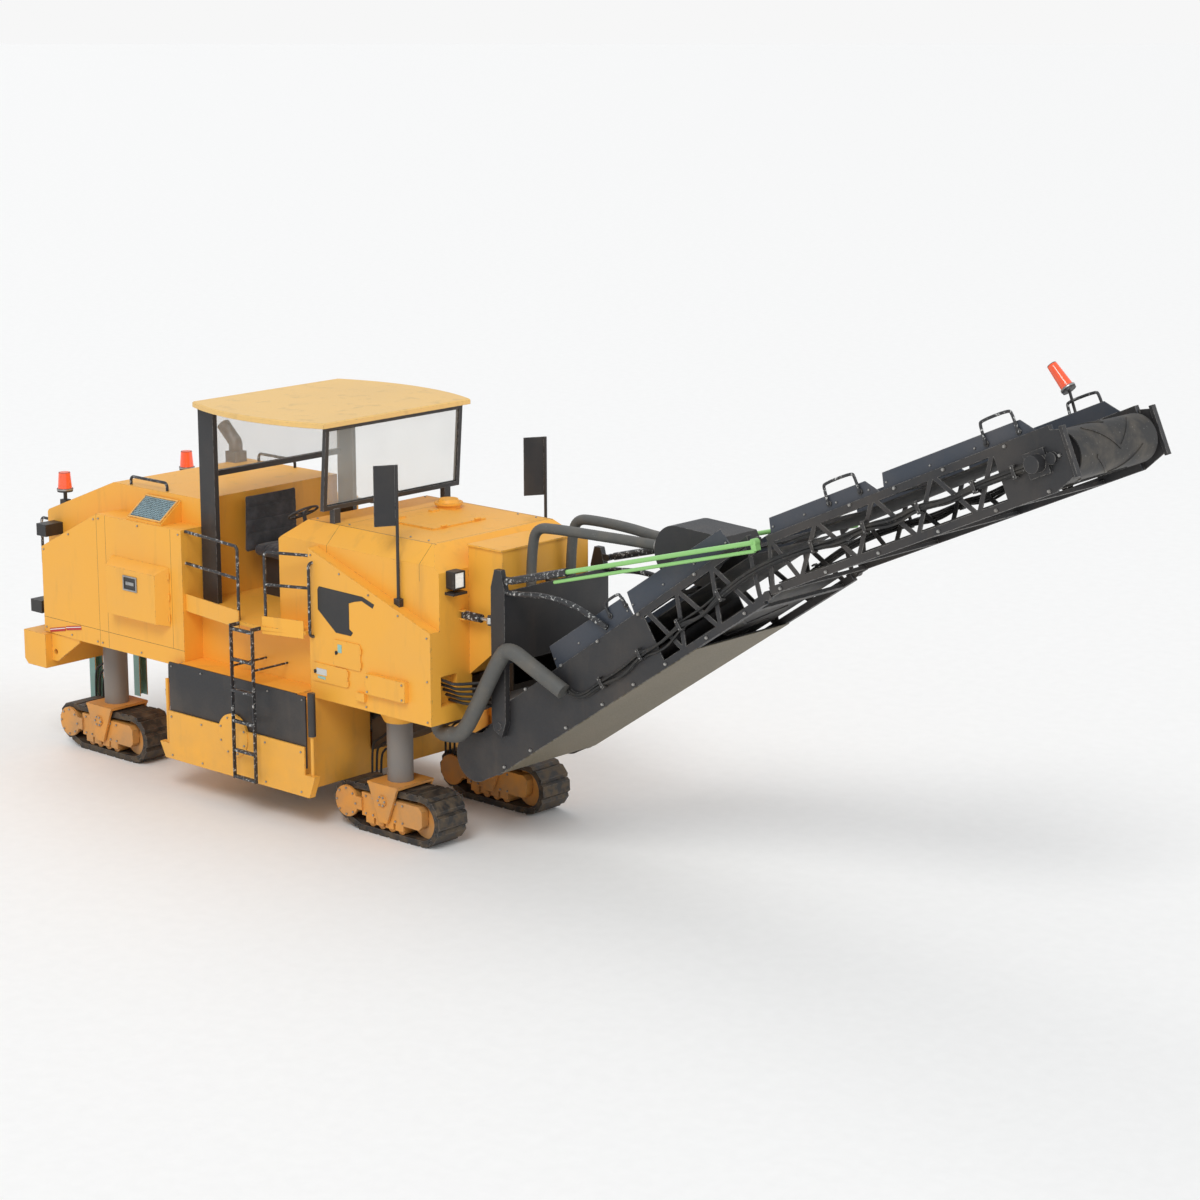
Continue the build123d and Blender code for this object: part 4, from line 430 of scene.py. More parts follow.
def boxed(bm, low, high, turn=None, about=None):
    """Adds a block between two corners, turned about a point where asked for."""
    made = bmesh.ops.create_cube(bm, size=1.0)["verts"]
    middle = (Vector(low) + Vector(high)) / 2
    size = Vector(high) - Vector(low)
    for vertex in made:
        vertex.co = Vector(a * b for a, b in zip(vertex.co, size)) + middle
        if turn:
            vertex.co = turn @ (vertex.co - about) + about
    return made


def standing(centre, axis):
    """The frame at a point whose Z runs along an axis."""
    turn = Vector(axis).normalized().to_track_quat("Z", "Y").to_matrix().to_4x4()
    turn.translation = Vector(centre)
    return turn


def circle(bm, turn, radius, height, sides):
    """Adds the corners of a circle round a frame's Z."""
    corners = []
    for k in range(sides):
        angle = 2 * math.pi * k / sides
        corners.append(bm.verts.new(turn @ Vector((radius * math.cos(angle), radius * math.sin(angle), height))))
    return corners


def disc(bm, centre, axis, radius, depth, sides=24, tip=None):
    """Adds a short round bar with its middle at a point; tip gives the outer end another radius."""
    ends = {"radius1": radius, "radius2": radius if tip is None else tip, "depth": depth}
    bmesh.ops.create_cone(bm, cap_ends=True, segments=sides, matrix=standing(centre, axis), **ends)


def ring(bm, centre, axis, inner, outer, depth, sides=28):
    """Adds a flat band round an axis."""
    turn = standing(centre, axis)
    outline = ((inner, -depth / 2), (outer, -depth / 2), (outer, depth / 2), (inner, depth / 2))
    rows = [circle(bm, turn, radius, height, sides) for radius, height in outline]
    for first, second in zip(rows, rows[1:] + rows[:1]):
        for k in range(sides):
            bm.faces.new((first[k], first[(k + 1) % sides], second[(k + 1) % sides], second[k]))


def piece(name, bm, material, body, bevel=0.0, smooth=True):
    """Makes a finished piece of a mesh, with softened edges, riding on a body."""
    bmesh.ops.recalc_face_normals(bm, faces=bm.faces)
    if bevel:
        bmesh.ops.bevel(
            bm,
            geom=[edge for edge in bm.edges if len(edge.link_faces) == 2 and edge.calc_face_angle() > 0.6],
            offset=bevel,
            segments=2,
            affect="EDGES",
            clamp_overlap=True,
        )
    mesh = mesh_of(name, bm, material)
    made = placed(name, mesh)
    if smooth:
        mesh.shade_smooth()
        mesh.set_sharp_from_angle(angle=math.radians(35))
    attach(made, body)
    return made


def boxes(name, corners, material, body, bevel=0.0):
    """Makes one piece of several blocks."""
    bm = bmesh.new()
    for low, high in corners:
        boxed(bm, low, high)
    piece(name, bm, material, body, bevel)


def bands(name, spots, axis, inner, outer, depth, material, body, bevel=0.0):
    """Makes one piece of several equal bands."""
    bm = bmesh.new()
    for spot in spots:
        ring(bm, spot, axis, inner, outer, depth)
    piece(name, bm, material, body, bevel)


def guide(name, points, steps=12, kind="NURBS"):
    """Curve data along these points, with as many steps between two of them."""
    curve = bpy.data.curves.new(name, "CURVE")
    curve.dimensions = "3D"
    curve.resolution_u = steps
    spline = curve.splines.new(kind)
    spline.points.add(len(points) - 1)
    for point, place in zip(spline.points, points):
        point.co = (*place, 1)
    if kind == "NURBS":
        spline.order_u = 3
        spline.use_endpoint_u = True
    return curve


def smooth_tube(points, radius):
    """A round tube along the smooth line that these points steer, as plain mesh data."""
    curve = guide("tube", points, 10)
    curve.bevel_depth = radius
    curve.bevel_resolution = 6
    curve.use_fill_caps = True
    holder = placed("tube", curve)
    mesh = evaluated_mesh(holder)
    bpy.data.objects.remove(holder)
    bpy.data.curves.remove(curve)
    return mesh


def joined_tubes(name, routes, radius, material):
    """One object of several smooth tubes."""
    bm = bmesh.new()
    for route in routes:
        mesh = smooth_tube(route, radius)
        bm.from_mesh(mesh)
        bpy.data.meshes.remove(mesh)
    bmesh.ops.remove_doubles(bm, verts=bm.verts, dist=1e-5)
    bmesh.ops.recalc_face_normals(bm, faces=bm.faces)
    mesh = mesh_of(name, bm, material)
    mesh.shade_smooth()
    return placed(name, mesh)


# Backdrop, lights and camera
FLOOR_HALF = 500.0
SKY_LIGHT = (0.93, 0.96, 1.0, 1)
BACKDROP = (0.93, 0.93, 0.93, 1)
VIEW_PLACE = (21.298, -22.150, 9.812)
VIEW_AROUND = 41.87
VIEW_UP = 12.40


def studio():
    bm = bmesh.new()
    bmesh.ops.create_grid(bm, x_segments=2, y_segments=2, size=FLOOR_HALF)
    r = Recipe("pale_floor")
    grain = r.noise(6.0, 5)
    colour = r.mix(r.ramp(grain, 0.3, 0.7), (0.905, 0.893, 0.872), (0.93, 0.918, 0.897))
    r.bump(grain, 0.05, 0.001, 0)
    floor = placed("floor", mesh_of("floor", bm, r.finish(colour, 0.7)))
    world = bpy.data.worlds.new("studio")
    bpy.context.scene.world = world
    world.use_nodes = True
    world.node_tree.nodes.clear()
    t = Tree(world.node_tree)
    path = t.add("ShaderNodeLightPath").outputs
    seen = t.math("MAXIMUM", path["Is Camera Ray"], path["Is Transmission Ray"])
    light = t.add("ShaderNodeBackground", {"Color": SKY_LIGHT, "Strength": 0.62}).outputs[0]
    pale = t.add("ShaderNodeBackground", {"Color": BACKDROP, "Strength": 1.0}).outputs[0]
    chosen = t.add("ShaderNodeMixShader", {0: seen, 1: light, 2: pale}).outputs[0]
    t.add("ShaderNodeOutputWorld", {0: chosen})
    for name, place, power, spread in (
        ("key_light", (9, -16, 19), 1.25, 24),
        ("fill_light", (16, 8, 9), 0.55, 40),
        ("back_light", (-14, 6, 14), 0.45, 40),
    ):
        lamp = bpy.data.lights.new(name, "SUN")
        lamp.energy = power
        lamp.angle = math.radians(spread)
        lamp_object = placed(name, lamp)
        lamp_object.location = place
        lamp_object.rotation_euler = (-Vector(place)).to_track_quat("-Z", "Y").to_euler()
    camera_data = bpy.data.cameras.new("camera")
    camera_data.lens = 90.92
    camera_data.sensor_width = 36.0
    camera_data.shift_x = -0.0323
    camera_data.shift_y = -0.035
    camera_data.clip_end = 200
    camera = placed("camera", camera_data)
    around, up = math.radians(VIEW_AROUND), math.radians(VIEW_UP)
    back = Vector((math.sin(around) * math.cos(up), -math.cos(around) * math.cos(up), math.sin(up)))
    camera.location = VIEW_PLACE
    camera.rotation_euler = (-back).to_track_quat("-Z", "Y").to_euler()
    bpy.context.scene.camera = camera
    bpy.context.scene.view_settings.view_transform = "Standard"


studio()


# Places along the two sections of the discharge conveyor
def on_slope(foot, slope, along, out, across):
    return Vector(
        (
            foot.x + along * math.cos(slope) - out * math.sin(slope),
            across,
            foot.z + along * math.sin(slope) + out * math.cos(slope),
        )
    )


def on_lower(along, out, across):
    return on_slope(LOW_FOOT, LOW_SLOPE, along, out, across)


def on_upper(along, out, across):
    return on_slope(UP_FOOT, UP_SLOPE, along, out, across)


# Geometry Nodes trees, each with named inputs
class Growth(Tree):
    """A Geometry Nodes tree whose inputs are read by their names."""

    def __init__(self, name, sizes, others=()):
        super().__init__(bpy.data.node_groups.new(name, "GeometryNodeTree"))
        sockets = self.tree.interface.new_socket
        sockets("Geometry", in_out="INPUT", socket_type="NodeSocketGeometry")
        sockets("Geometry", in_out="OUTPUT", socket_type="NodeSocketGeometry")
        kinds = (*others, *((label, "Float") for label in sizes), ("material", "Material"))
        for label, kind in kinds:
            sockets(label, in_out="INPUT", socket_type=f"NodeSocket{kind}")
        self.start = self.add("NodeGroupInput")

    def __getitem__(self, label):
        return self.start.outputs[label]

    def vector(self, x=0.0, y=0.0, z=0.0):
        return self.add("ShaderNodeCombineXYZ", {0: x, 1: y, 2: z}).outputs[0]

    def change(self, kind, first, second):
        return self.add("ShaderNodeVectorMath", {0: first, 1: second}, operation=kind).outputs[0]

    def place(self):
        """The parts of each point's place."""
        return self.add("ShaderNodeSeparateXYZ", {0: self.add("GeometryNodeInputPosition").outputs[0]}).outputs

    def close(self, geometry):
        """Realizes what is instanced, sets the material and ends the tree."""
        real = self.add("GeometryNodeRealizeInstances", {0: geometry}).outputs[0]
        paint = self.add("GeometryNodeSetMaterial", {"Geometry": real, "Material": self["material"]})
        self.add("NodeGroupOutput", {0: paint.outputs[0]})
        return self.tree


def grow(name, source, tree, values, body=None, smooth=False):
    """Runs a tree on a mesh or curve object and keeps the result as a plain mesh piece."""
    bpy.context.scene.collection.objects.link(source)
    modifier = source.modifiers.new("growth", "NODES")
    modifier.node_group = tree
    sockets = {item.name: item.identifier for item in tree.interface.items_tree if item.in_out == "INPUT"}
    for label, value in values.items():
        modifier[sockets[label]] = value
    mesh = evaluated_mesh(source)
    source.modifiers.remove(modifier)
    bpy.data.objects.remove(source)
    mesh.name = name
    made = placed(name, mesh)
    if smooth:
        mesh.shade_smooth()
    if body:
        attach(made, body)
    return made


def bolt_head_tree():
    g = Growth("bolt_heads", ("head radius", "head height"))
    top = g.math("MULTIPLY", g["head radius"], 0.72)
    sizes = {"Vertices": 8, "Radius Bottom": g["head radius"], "Radius Top": top, "Depth": g["head height"]}
    head = g.add("GeometryNodeMeshCone", sizes).outputs["Mesh"]
    facing = g.add("GeometryNodeInputNamedAttribute", {"Name": "facing"}, data_type="FLOAT_VECTOR")
    turn = g.add("FunctionNodeAlignRotationToVector", {"Vector": facing.outputs["Attribute"]}, axis="Z")
    inputs = {"Points": g["Geometry"], "Instance": head, "Rotation": turn.outputs[0]}
    return g.close(g.add("GeometryNodeInstanceOnPoints", inputs).outputs[0])


def ribbed_hose_tree():
    g = Growth("ribbed_hose", ("radius", "groove", "pitch"))
    step = g.math("MULTIPLY", g["pitch"], 0.5)
    line = g.add("GeometryNodeResampleCurve", {"Curve": g["Geometry"], "Length": step}, mode="LENGTH")
    odd = g.math("MODULO", g.add("GeometryNodeInputIndex").outputs[0], 2.0)
    shrink = g.math("SUBTRACT", 1.0, g.math("MULTIPLY", odd, g["groove"]))
    wide = g.add("GeometryNodeSetCurveRadius", {"Curve": line.outputs[0], "Radius": shrink}).outputs[0]
    ring = g.add("GeometryNodeCurvePrimitiveCircle", {"Resolution": 20, "Radius": g["radius"]}).outputs[0]
    skin = g.add("GeometryNodeCurveToMesh", {"Fill Caps": True, "Curve": wide, "Profile Curve": ring})
    if "Scale" in skin.inputs:
        g.feed(skin.inputs["Scale"], g.add("GeometryNodeInputRadius").outputs[0])
    return g.close(skin.outputs[0])


def belt_rib_tree():
    sizes = ("spacing", "first", "half width", "rib width", "rib height", "lean")
    g = Growth("belt_ribs", sizes, (("belt path", "Object"), ("count", "Int")))
    size = g.vector(g["rib width"], g.math("MULTIPLY", g["half width"], 2.0), g["rib height"])
    rib = g.add("GeometryNodeMeshCube", {"Vertices Y": 17, "Size": size}).outputs["Mesh"]
    back = g.math("MULTIPLY", g.math("ABSOLUTE", g.place()[1]), g["lean"])
    bent = g.add("GeometryNodeSetPosition", {"Geometry": rib, "Offset": g.vector(back)}).outputs[0]
    line = {"Count": g["count"], "Start Location": g.vector(g["first"]), "Offset": g.vector(g["spacing"])}
    row = g.add("GeometryNodeMeshLine", line).outputs[0]
    spread = g.add("GeometryNodeInstanceOnPoints", {"Points": row, "Instance": bent}).outputs[0]
    flat = g.add("GeometryNodeRealizeInstances", {0: spread}).outputs[0]
    along, across, high = g.place()[:3]
    path = g.add("GeometryNodeObjectInfo", {"Object": g["belt path"]}).outputs["Geometry"]
    sample = g.add("GeometryNodeSampleCurve", {"Curves": path, "Length": along}, mode="LENGTH").outputs
    out = g.change("CROSS_PRODUCT", sample["Tangent"], (0, -1, 0))
    lift = g.add("ShaderNodeVectorMath", {0: out, "Scale": high}, operation="SCALE").outputs[0]
    spot = g.change("ADD", g.change("ADD", sample["Position"], lift), g.vector(y=across))
    return g.close(g.add("GeometryNodeSetPosition", {"Geometry": flat, "Position": spot}).outputs[0])


def wire_mesh_tree():
    g = Growth("wire_mesh", ("wide", "high", "pitch", "wire"))
    sets = g.add("GeometryNodeJoinGeometry")
    for length, span, axis in (("wide", "high", 1), ("high", "wide", 0)):
        count = g.math("ROUND", g.math("DIVIDE", g[span], g["pitch"]))
        size = g.add("ShaderNodeCombineXYZ", {1 - axis: g[length], axis: g["wire"], 2: g["wire"]}).outputs[0]
        wire = g.add("GeometryNodeMeshCube", {"Size": size}).outputs["Mesh"]
        step = g.add("ShaderNodeCombineXYZ", {axis: g["pitch"]}).outputs[0]
        begin = g.add("ShaderNodeCombineXYZ", {axis: g.math("MULTIPLY", g[span], -0.5)}).outputs[0]
        line = {"Count": g.math("ADD", count, 1.0), "Start Location": begin, "Offset": step}
        row = g.add("GeometryNodeMeshLine", line).outputs[0]
        g.feed(sets.inputs[0], g.add("GeometryNodeInstanceOnPoints", {"Points": row, "Instance": wire}).outputs[0])
    return g.close(sets.outputs[0])


bolt_heads = bolt_head_tree()
ribbed_hose = ribbed_hose_tree()
belt_ribs = belt_rib_tree()
wire_mesh = wire_mesh_tree()

bolt_steel = bare_metal("bolt_heads", (0.42, 0.41, 0.39), 0.4, amount=0.35)
panel_black = worn_paint("panel_black", (0.022, 0.022, 0.023), wear=0.25, dirt=0.15, gloss=0.35)
plate_white = worn_paint("blank_plate_white", (0.62, 0.63, 0.60), wear=0.35, dirt=0.3, gloss=0.4)
plate_teal = worn_paint("blank_plate_teal", (0.30, 0.55, 0.50), wear=0.35, dirt=0.3, gloss=0.4)
handle_grey = bare_metal("handle_grey", (0.40, 0.40, 0.39), 0.38, amount=0.3)
rubber_black = rubber("rubber_black", (0.012, 0.012, 0.012), dust=0.15)


def bolts(name, places, body, radius=0.012, height=0.010, material=None):
    """Bolt heads at (place, facing) pairs, grown as one mesh."""
    mesh = bpy.data.meshes.new(name)
    mesh.from_pydata([tuple(place) for place, facing in places], [], [])
    attribute = mesh.attributes.new("facing", "FLOAT_VECTOR", "POINT")
    for item, (place, facing) in zip(attribute.data, places):
        item.vector = facing
    values = {"head radius": radius, "head height": height, "material": material or bolt_steel}
    return grow(name, bpy.data.objects.new(name, mesh), bolt_heads, values, body)


def on_side(face, hand, spots):
    """Bolts at these X and Z on an upright face that looks to one side."""
    return [((x, face, z), (0, hand, 0)) for x, z in spots]


def round_centre(x, z, radius, count, first=0.0):
    """X and Z at equal steps round a point."""
    turns = [math.radians(first + 360 / count * step) for step in range(count)]
    return [(x + radius * math.cos(turn), z + radius * math.sin(turn)) for turn in turns]


# Bolts: along the conveyor's sides, on its guard plates, on the body, the side plates and the track units
LOWER_BOLTS = (
    (0.037, (0.15, 0.6, 1.2, 1.8, 2.3, 2.80, 3.43, 4.0)),
    (0.600, (0.9, 1.5, 2.1, 2.75)),
    (0.622, (3.635, 4.25)),
)
UPPER_BOLTS = ((0.030, (0.25, 0.84, 1.5, 2.226, 2.9, 3.50)), (0.530, (1.351, 1.9, 2.486, 3.197)), (0.290, (3.10, 3.72)))
for body, on_section, rows in (("discharge_lower", on_lower, LOWER_BOLTS), ("discharge_upper", on_upper, UPPER_BOLTS)):
    places = [
        (on_section(along, out, hand * (CONVEYOR_SIDE + 0.004)), (0, hand, 0))
        for name, hand in SIDES
        for out, row in rows
        for along in row
    ]
    bolts(f"{body}_bolts", places, body, 0.019, 0.016)
for name, body, on_section, plates, drop in (
    ("lower_skirt_bolts", "discharge_lower", on_lower, ((1.42, 2.60, 0.80), (2.70, 4.12, 0.82)), 0.10),
    ("upper_skirt_bolts", "discharge_upper", on_upper, ((0.36, 1.58, 0.64), (1.80, 3.38, 0.65)), 0.04),
):
    places = [
        (on_section(start + (end - start) * step / 3, out - drop, hand * (SKIRT_FACE + 0.003)), (0, hand, 0))
        for side, hand in SIDES
        for start, end, out in plates
        for step in range(4)
    ]
    bolts(name, places, body, 0.012, 0.010)

# side face, then X and Z of each bolt
BODY_BOLTS = (
    (POD_SIDE, ((-0.38, 1.47), (-0.38, 1.9), (-0.38, 2.36), (-1.30, 1.47), (-2.12, 1.47), (-2.12, 2.1), (-2.12, 2.98))),
    (POD_SIDE, ((-0.80, 2.53), (-1.24, 2.68), (-1.68, 2.84))),
    (REAR_POD_SIDE, ((-4.15, 1.48), (-4.15, 2.93), (-4.85, 2.93), (-5.54, 2.92), (-4.85, 1.48), (-5.54, 1.48))),
    (REAR_POD_SIDE, ((-5.63, 2.90), (-6.10, 2.66), (-6.57, 2.42), (-6.57, 1.50), (-6.10, 1.48), (-5.63, 1.48))),
    (1.42, ((-2.07, 1.45), (-2.62, 1.45), (-3.17, 1.45), (-3.72, 1.45), (-4.22, 1.45))),
)
places = []
for hand_name, hand in SIDES:
    for face, spots in BODY_BOLTS:
        places += on_side(hand * (face + 0.003), hand, spots)
    places += on_side(hand * 1.272, hand, ((-1.22, 1.66), (-1.22, 1.82), (-0.70, 1.66), (-0.70, 1.82)))
places += [((x, y, 3.264), UP) for x in (-0.75, -1.02, -1.95, -2.2, -2.45) for y in (-0.80, 0.80)]
bolts("body_bolts", places, "machine", 0.012, 0.010)

PLATE_BOLTS = (
    (-2.08, 0.44), (-2.08, 0.88), (-2.65, 0.88), (-3.70, 0.88),
    (-4.21, 0.44), (-4.21, 0.88), (-2.65, 0.44), (-3.70, 0.44),
)
for hand_name, hand in SIDES:
    places = on_side(hand * 1.451, hand, PLATE_BOLTS)
    places += on_side(hand * 1.461, hand, round_centre(DRUM_X, DRUM_Z, 0.205, 8, 22.5))
    bolts(f"side_plate_bolts_{hand_name}", places, f"side_plate_{hand_name}", 0.013, 0.010)

for end, leg_x, top in TRACK_LEGS:
    for hand_name, hand in SIDES:
        places = []
        for out in (1, -1):
            if out == hand:
                motor = round_centre(leg_x - 0.583, 0.300, 0.145, 8)
                places += on_side(hand * TRACK_Y + out * 0.252, out, motor)
            cover = [(leg_x + x, z) for x in (-0.30, -0.19, 0.15, 0.26) for z in (0.215, 0.405)]
            places += on_side(hand * TRACK_Y + out * 0.228, out, cover)
            places += on_side(hand * TRACK_Y + out * 0.287, out, round_centre(leg_x, 0.42, 0.05, 6))
        bolts(f"track_bolts_{end}_{hand_name}", places, f"track_unit_{end}_{hand_name}", 0.013, 0.012)


# Raised ribs of the belt: a line round the head or tail first, then chevrons along it
def belt_line(on_section, pulley, radius, sense, top, low):
    """Poly line of the belt's outer face: up the top run, round the pulley and back below."""
    points = [on_section(along, out, 0) for along, out in reversed(top)]
    for step in range(25):
        turn = math.radians(90 - sense * 180 * step / 24)
        points.append(on_section(pulley[0] + radius * math.cos(turn), pulley[1] + radius * math.sin(turn), 0))
    points += [on_section(along, out, 0) for along, out in low]
    line = placed("belt_line", guide("belt_line", points, kind="POLY"))
    return line, sum((b - a).length for a, b in zip(points, points[1:]))


UPPER_RUNS = ((3.58, 0.515), (2.90, 0.470), (0.34, 0.430)), ((3.58, 0.065), (2.90, 0.084), (0.16, 0.084))
LOWER_RUNS = ((-0.141, 0.535), (0.70, 0.50), (4.30, 0.50)), ((-0.141, 0.055), (0.70, 0.084), (4.20, 0.096))
for name, body, on_section, pulley, radius, sense, (top, low) in (
    ("upper_belt_ribs", "discharge_upper", on_upper, (3.640, 0.290), 0.225, 1, UPPER_RUNS),
    ("lower_belt_ribs", "discharge_lower", on_lower, (-0.201, 0.295), 0.240, -1, LOWER_RUNS),
):
    line, length = belt_line(on_section, pulley, radius, sense, top, low)
    values = {
        "belt path": line,
        "count": int((length - 0.6) / 0.30),
        "spacing": 0.30,
        "first": 0.42 if sense > 0 else 0.10,
        "half width": 0.36,
        "rib width": 0.030,
        "rib height": sense * 0.020,
        "lean": sense * -0.75,
        "material": belt_rubber,
    }
    start = bpy.data.objects.new(name, bpy.data.meshes.new("belt_start"))
    grow(name, start, belt_ribs, values, body)
    bpy.data.objects.remove(line)


# Hoop handles along the guard plates
def hoop(on_section, start, end, foot, top, across):
    near = [(start, foot), (start, top - 0.03), (start + 0.03, top)]
    far = [(end - 0.03, top), (end, top - 0.03), (end, foot)]
    return [on_section(along, out, across) for along, out in near + far]


for body, on_section, table in (
    ("discharge_lower", on_lower, ((2.36, 2.61, 0.74, 0.895),)),
    ("discharge_upper", on_upper, ((1.09, 1.48, 0.60, 0.800), (2.99, 3.36, 0.60, 0.815))),
):
    routes = [hoop(on_section, *sizes, hand * 0.677) for sizes in table for name, hand in SIDES]
    handles = joined_tubes(f"{body}_handles", routes, 0.0145, mottled)
    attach(handles, body)
    bm = bmesh.new()
    for start, end, foot, top in table:
        for hand_name, hand in SIDES:
            for along in (start, end):
                spot = on_section(along, foot + 0.012, 0)
                disc(bm, (spot.x, hand * (SKIRT_FACE + 0.007), spot.z), (0, 1, 0), 0.028, 0.014, 16)
    piece(f"{body}_handle_feet", bm, charcoal, body)


# Hoses: each a smooth line through its route's points, with ribs where the real one is corrugated
def corrugated(name, points, radius, material, groove=0.07, pitch=0.022):
    line = guide(name, points, 24)
    values = {"radius": radius, "groove": groove, "pitch": pitch, "material": material}
    made = grow(name, bpy.data.objects.new(name, line), ribbed_hose, values, smooth=True)
    return made


def halved(source, name, cut, direction):
    """Keeps the part of a mesh behind a plane as a piece of its own, with its end closed."""
    bm = bmesh.new()
    bm.from_mesh(source.data)
    geometry = bm.verts[:] + bm.edges[:] + bm.faces[:]
    sliced = bmesh.ops.bisect_plane(bm, geom=geometry, plane_co=cut, plane_no=direction, clear_outer=True)
    rim = [item for item in sliced["geom_cut"] if isinstance(item, bmesh.types.BMEdge)]
    bmesh.ops.holes_fill(bm, edges=rim)
    mesh = mesh_of(name, bm, source.data.materials[0])
    mesh.shade_smooth()
    made = placed(name, mesh)
    return made


def to_side(route, hand):
    """A route on the left, or its mirror image on the right."""
    return [(x, hand * y, z) for x, y, z in route]


for name, foot, port in DUST_HOSES:
    route = [
        (DUST_X, foot, 2.132),
        (DUST_X, foot, 2.80),
        (DUST_X + 0.025, foot, 3.240),
        (0.330, foot, DUST_HIGH),
        (0.62, foot * 0.98, 3.500),
        (1.10, port + (foot - port) * 0.72, 3.500),
        (1.55, port + (foot - port) * 0.12, 3.484),
        (1.872, port, DUST_HIGH),
    ]
    hose = corrugated(name, route, 0.055, hose_grey)
    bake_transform(hose)
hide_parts("lift_hoses")

for hand_name, hand in SIDES:
    route = [
        (0.3155, 0.745, 2.871),
        (0.47, 0.745, 2.872),
        (0.80, 0.742, 2.918),
        (1.22, 0.722, 2.882),
        (1.50, 0.708, 2.770),
        (1.65, 0.702, 2.715),
    ]
    sheath = joined_tubes(f"sheath_{hand_name}", [to_side(route, hand)], 0.030, mottled)
    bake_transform(sheath)

SLEEVE_CUT = Vector((0.46, 0, 2.30))
for hand_name, hand in SIDES:
    route = [
        (1.150, 0.800, 1.990),
        (0.78, 0.842, 2.175),
        (0.470, 0.880, 2.345),
        (0.330, 0.885, 2.200),
        (0.02, 0.893, 1.650),
        (-0.190, 0.900, 1.310),
        (-0.40, 0.900, 1.275),
        (-0.545, 0.900, 1.285),
        (-0.560, 0.900, 1.4265),
    ]
    whole = corrugated(f"sleeve_{hand_name}", to_side(route, hand), 0.085, hose_grey, 0.06, 0.026)
    ahead = halved(whole, f"sleeve_front_{hand_name}", SLEEVE_CUT, Vector((-1, 0, 0)))
    behind = halved(whole, f"sleeve_rear_{hand_name}", SLEEVE_CUT, Vector((1, 0, 0)))
    bpy.data.objects.remove(whole)
    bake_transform(ahead)
    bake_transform(behind)
    if hand > 0:
        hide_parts("slew_hoses")
    supply = []
    for step in range(5):
        y, level = 0.860 + 0.040 * step, 1.640 + 0.062 * step
        drop = 0.012 + 0.004 * step
        route = [
            (-0.4235, y, level),
            (-0.30, y, level),
            (-0.215, y - 0.01, level - drop),
            (-0.06, 0.757 + 0.004 * step, level - drop),
            (0.03, 0.749, level),
            (0.1205, 0.749, level),
        ]
        supply.append(to_side(route, hand))
    bundle = joined_tubes(f"supply_hoses_{hand_name}", supply, 0.016, hose_black)
    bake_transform(bundle)

# each cable's place in its bundle, across and out from the side
CABLES = ((-0.026, 0.013), (0, 0.013), (0.026, 0.013), (-0.013, 0.038), (0.013, 0.038))
for hand_name, hand in SIDES:
    routes = []
    for number, (across, out) in enumerate(CABLES):
        y = hand * (CONVEYOR_SIDE + out)
        start = Vector((1.160 + across * 0.45, y, 1.984 + across * 0.88))
        turn = Vector((CABLE_TURN_X - 0.58 * across, y, CABLE_TURN_Z + 0.81 * across))
        fold = Vector((CABLE_FOLD_X - 0.58 * across, y, CABLE_FOLD_Z + 0.81 * across))
        end = on_upper(CABLE_END_ALONG, CABLE_END_OUT + across, y)
        route = [start, turn]
        for share, slack in ((0.14, 0), (0.25, 1), (0.36, 0), (0.47, 1), (0.58, 0), (0.69, 1), (0.80, 0)):
            sag = slack * (0.022 + 0.016 * ((2 * number + round(9 * share)) % 5))
            route.append(turn.lerp(fold, share) + Vector((0.58 * sag, 0, -0.81 * sag)))
        route.append(fold)
        for share, slack in ((0.22, 0), (0.32, 1), (0.42, 0), (0.52, 1), (0.62, 0), (0.72, 1), (0.82, 0), (0.92, 0)):
            sag = slack * (0.020 + 0.014 * ((3 * number + round(9 * share)) % 5))
            route.append(fold.lerp(end, share) + Vector((0.4 * sag, 0, -0.9 * sag)))
        route.append(end)
        routes.append([tuple(point) for point in route])
    cables = joined_tubes(f"conveyor_cables_{hand_name}", routes, 0.0125, hose_black)
    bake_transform(cables)
    if hand > 0:
        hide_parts("conveyor_cables")

for end, leg_x, top in TRACK_LEGS:
    for hand_name, hand in SIDES:
        routes = []
        for step, foot in enumerate((0.476, 0.476, 0.446)):
            high_x = leg_x - 0.260 - 0.070 * step
            low_x = leg_x - 0.549 - 0.070 * step
            y = hand * 0.556
            level = 0.040 * step
            route = [
                (high_x, y, top - 0.0005),
                (high_x, y, 1.20),
                (high_x - 0.004, y, 0.950 + level),
                (high_x - 0.10, y, 0.850 + level),
                (low_x + 0.05, y, 0.780 + level),
                (low_x, y, 0.68 + level),
                (low_x, y, foot + 0.002),
            ]
            routes.append(route)
        hoses = joined_tubes(f"track_hoses_{end}_{hand_name}", routes, 0.0125, hose_black)
        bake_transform(hoses)
        if end == "front" and hand > 0:
            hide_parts("track_hoses")

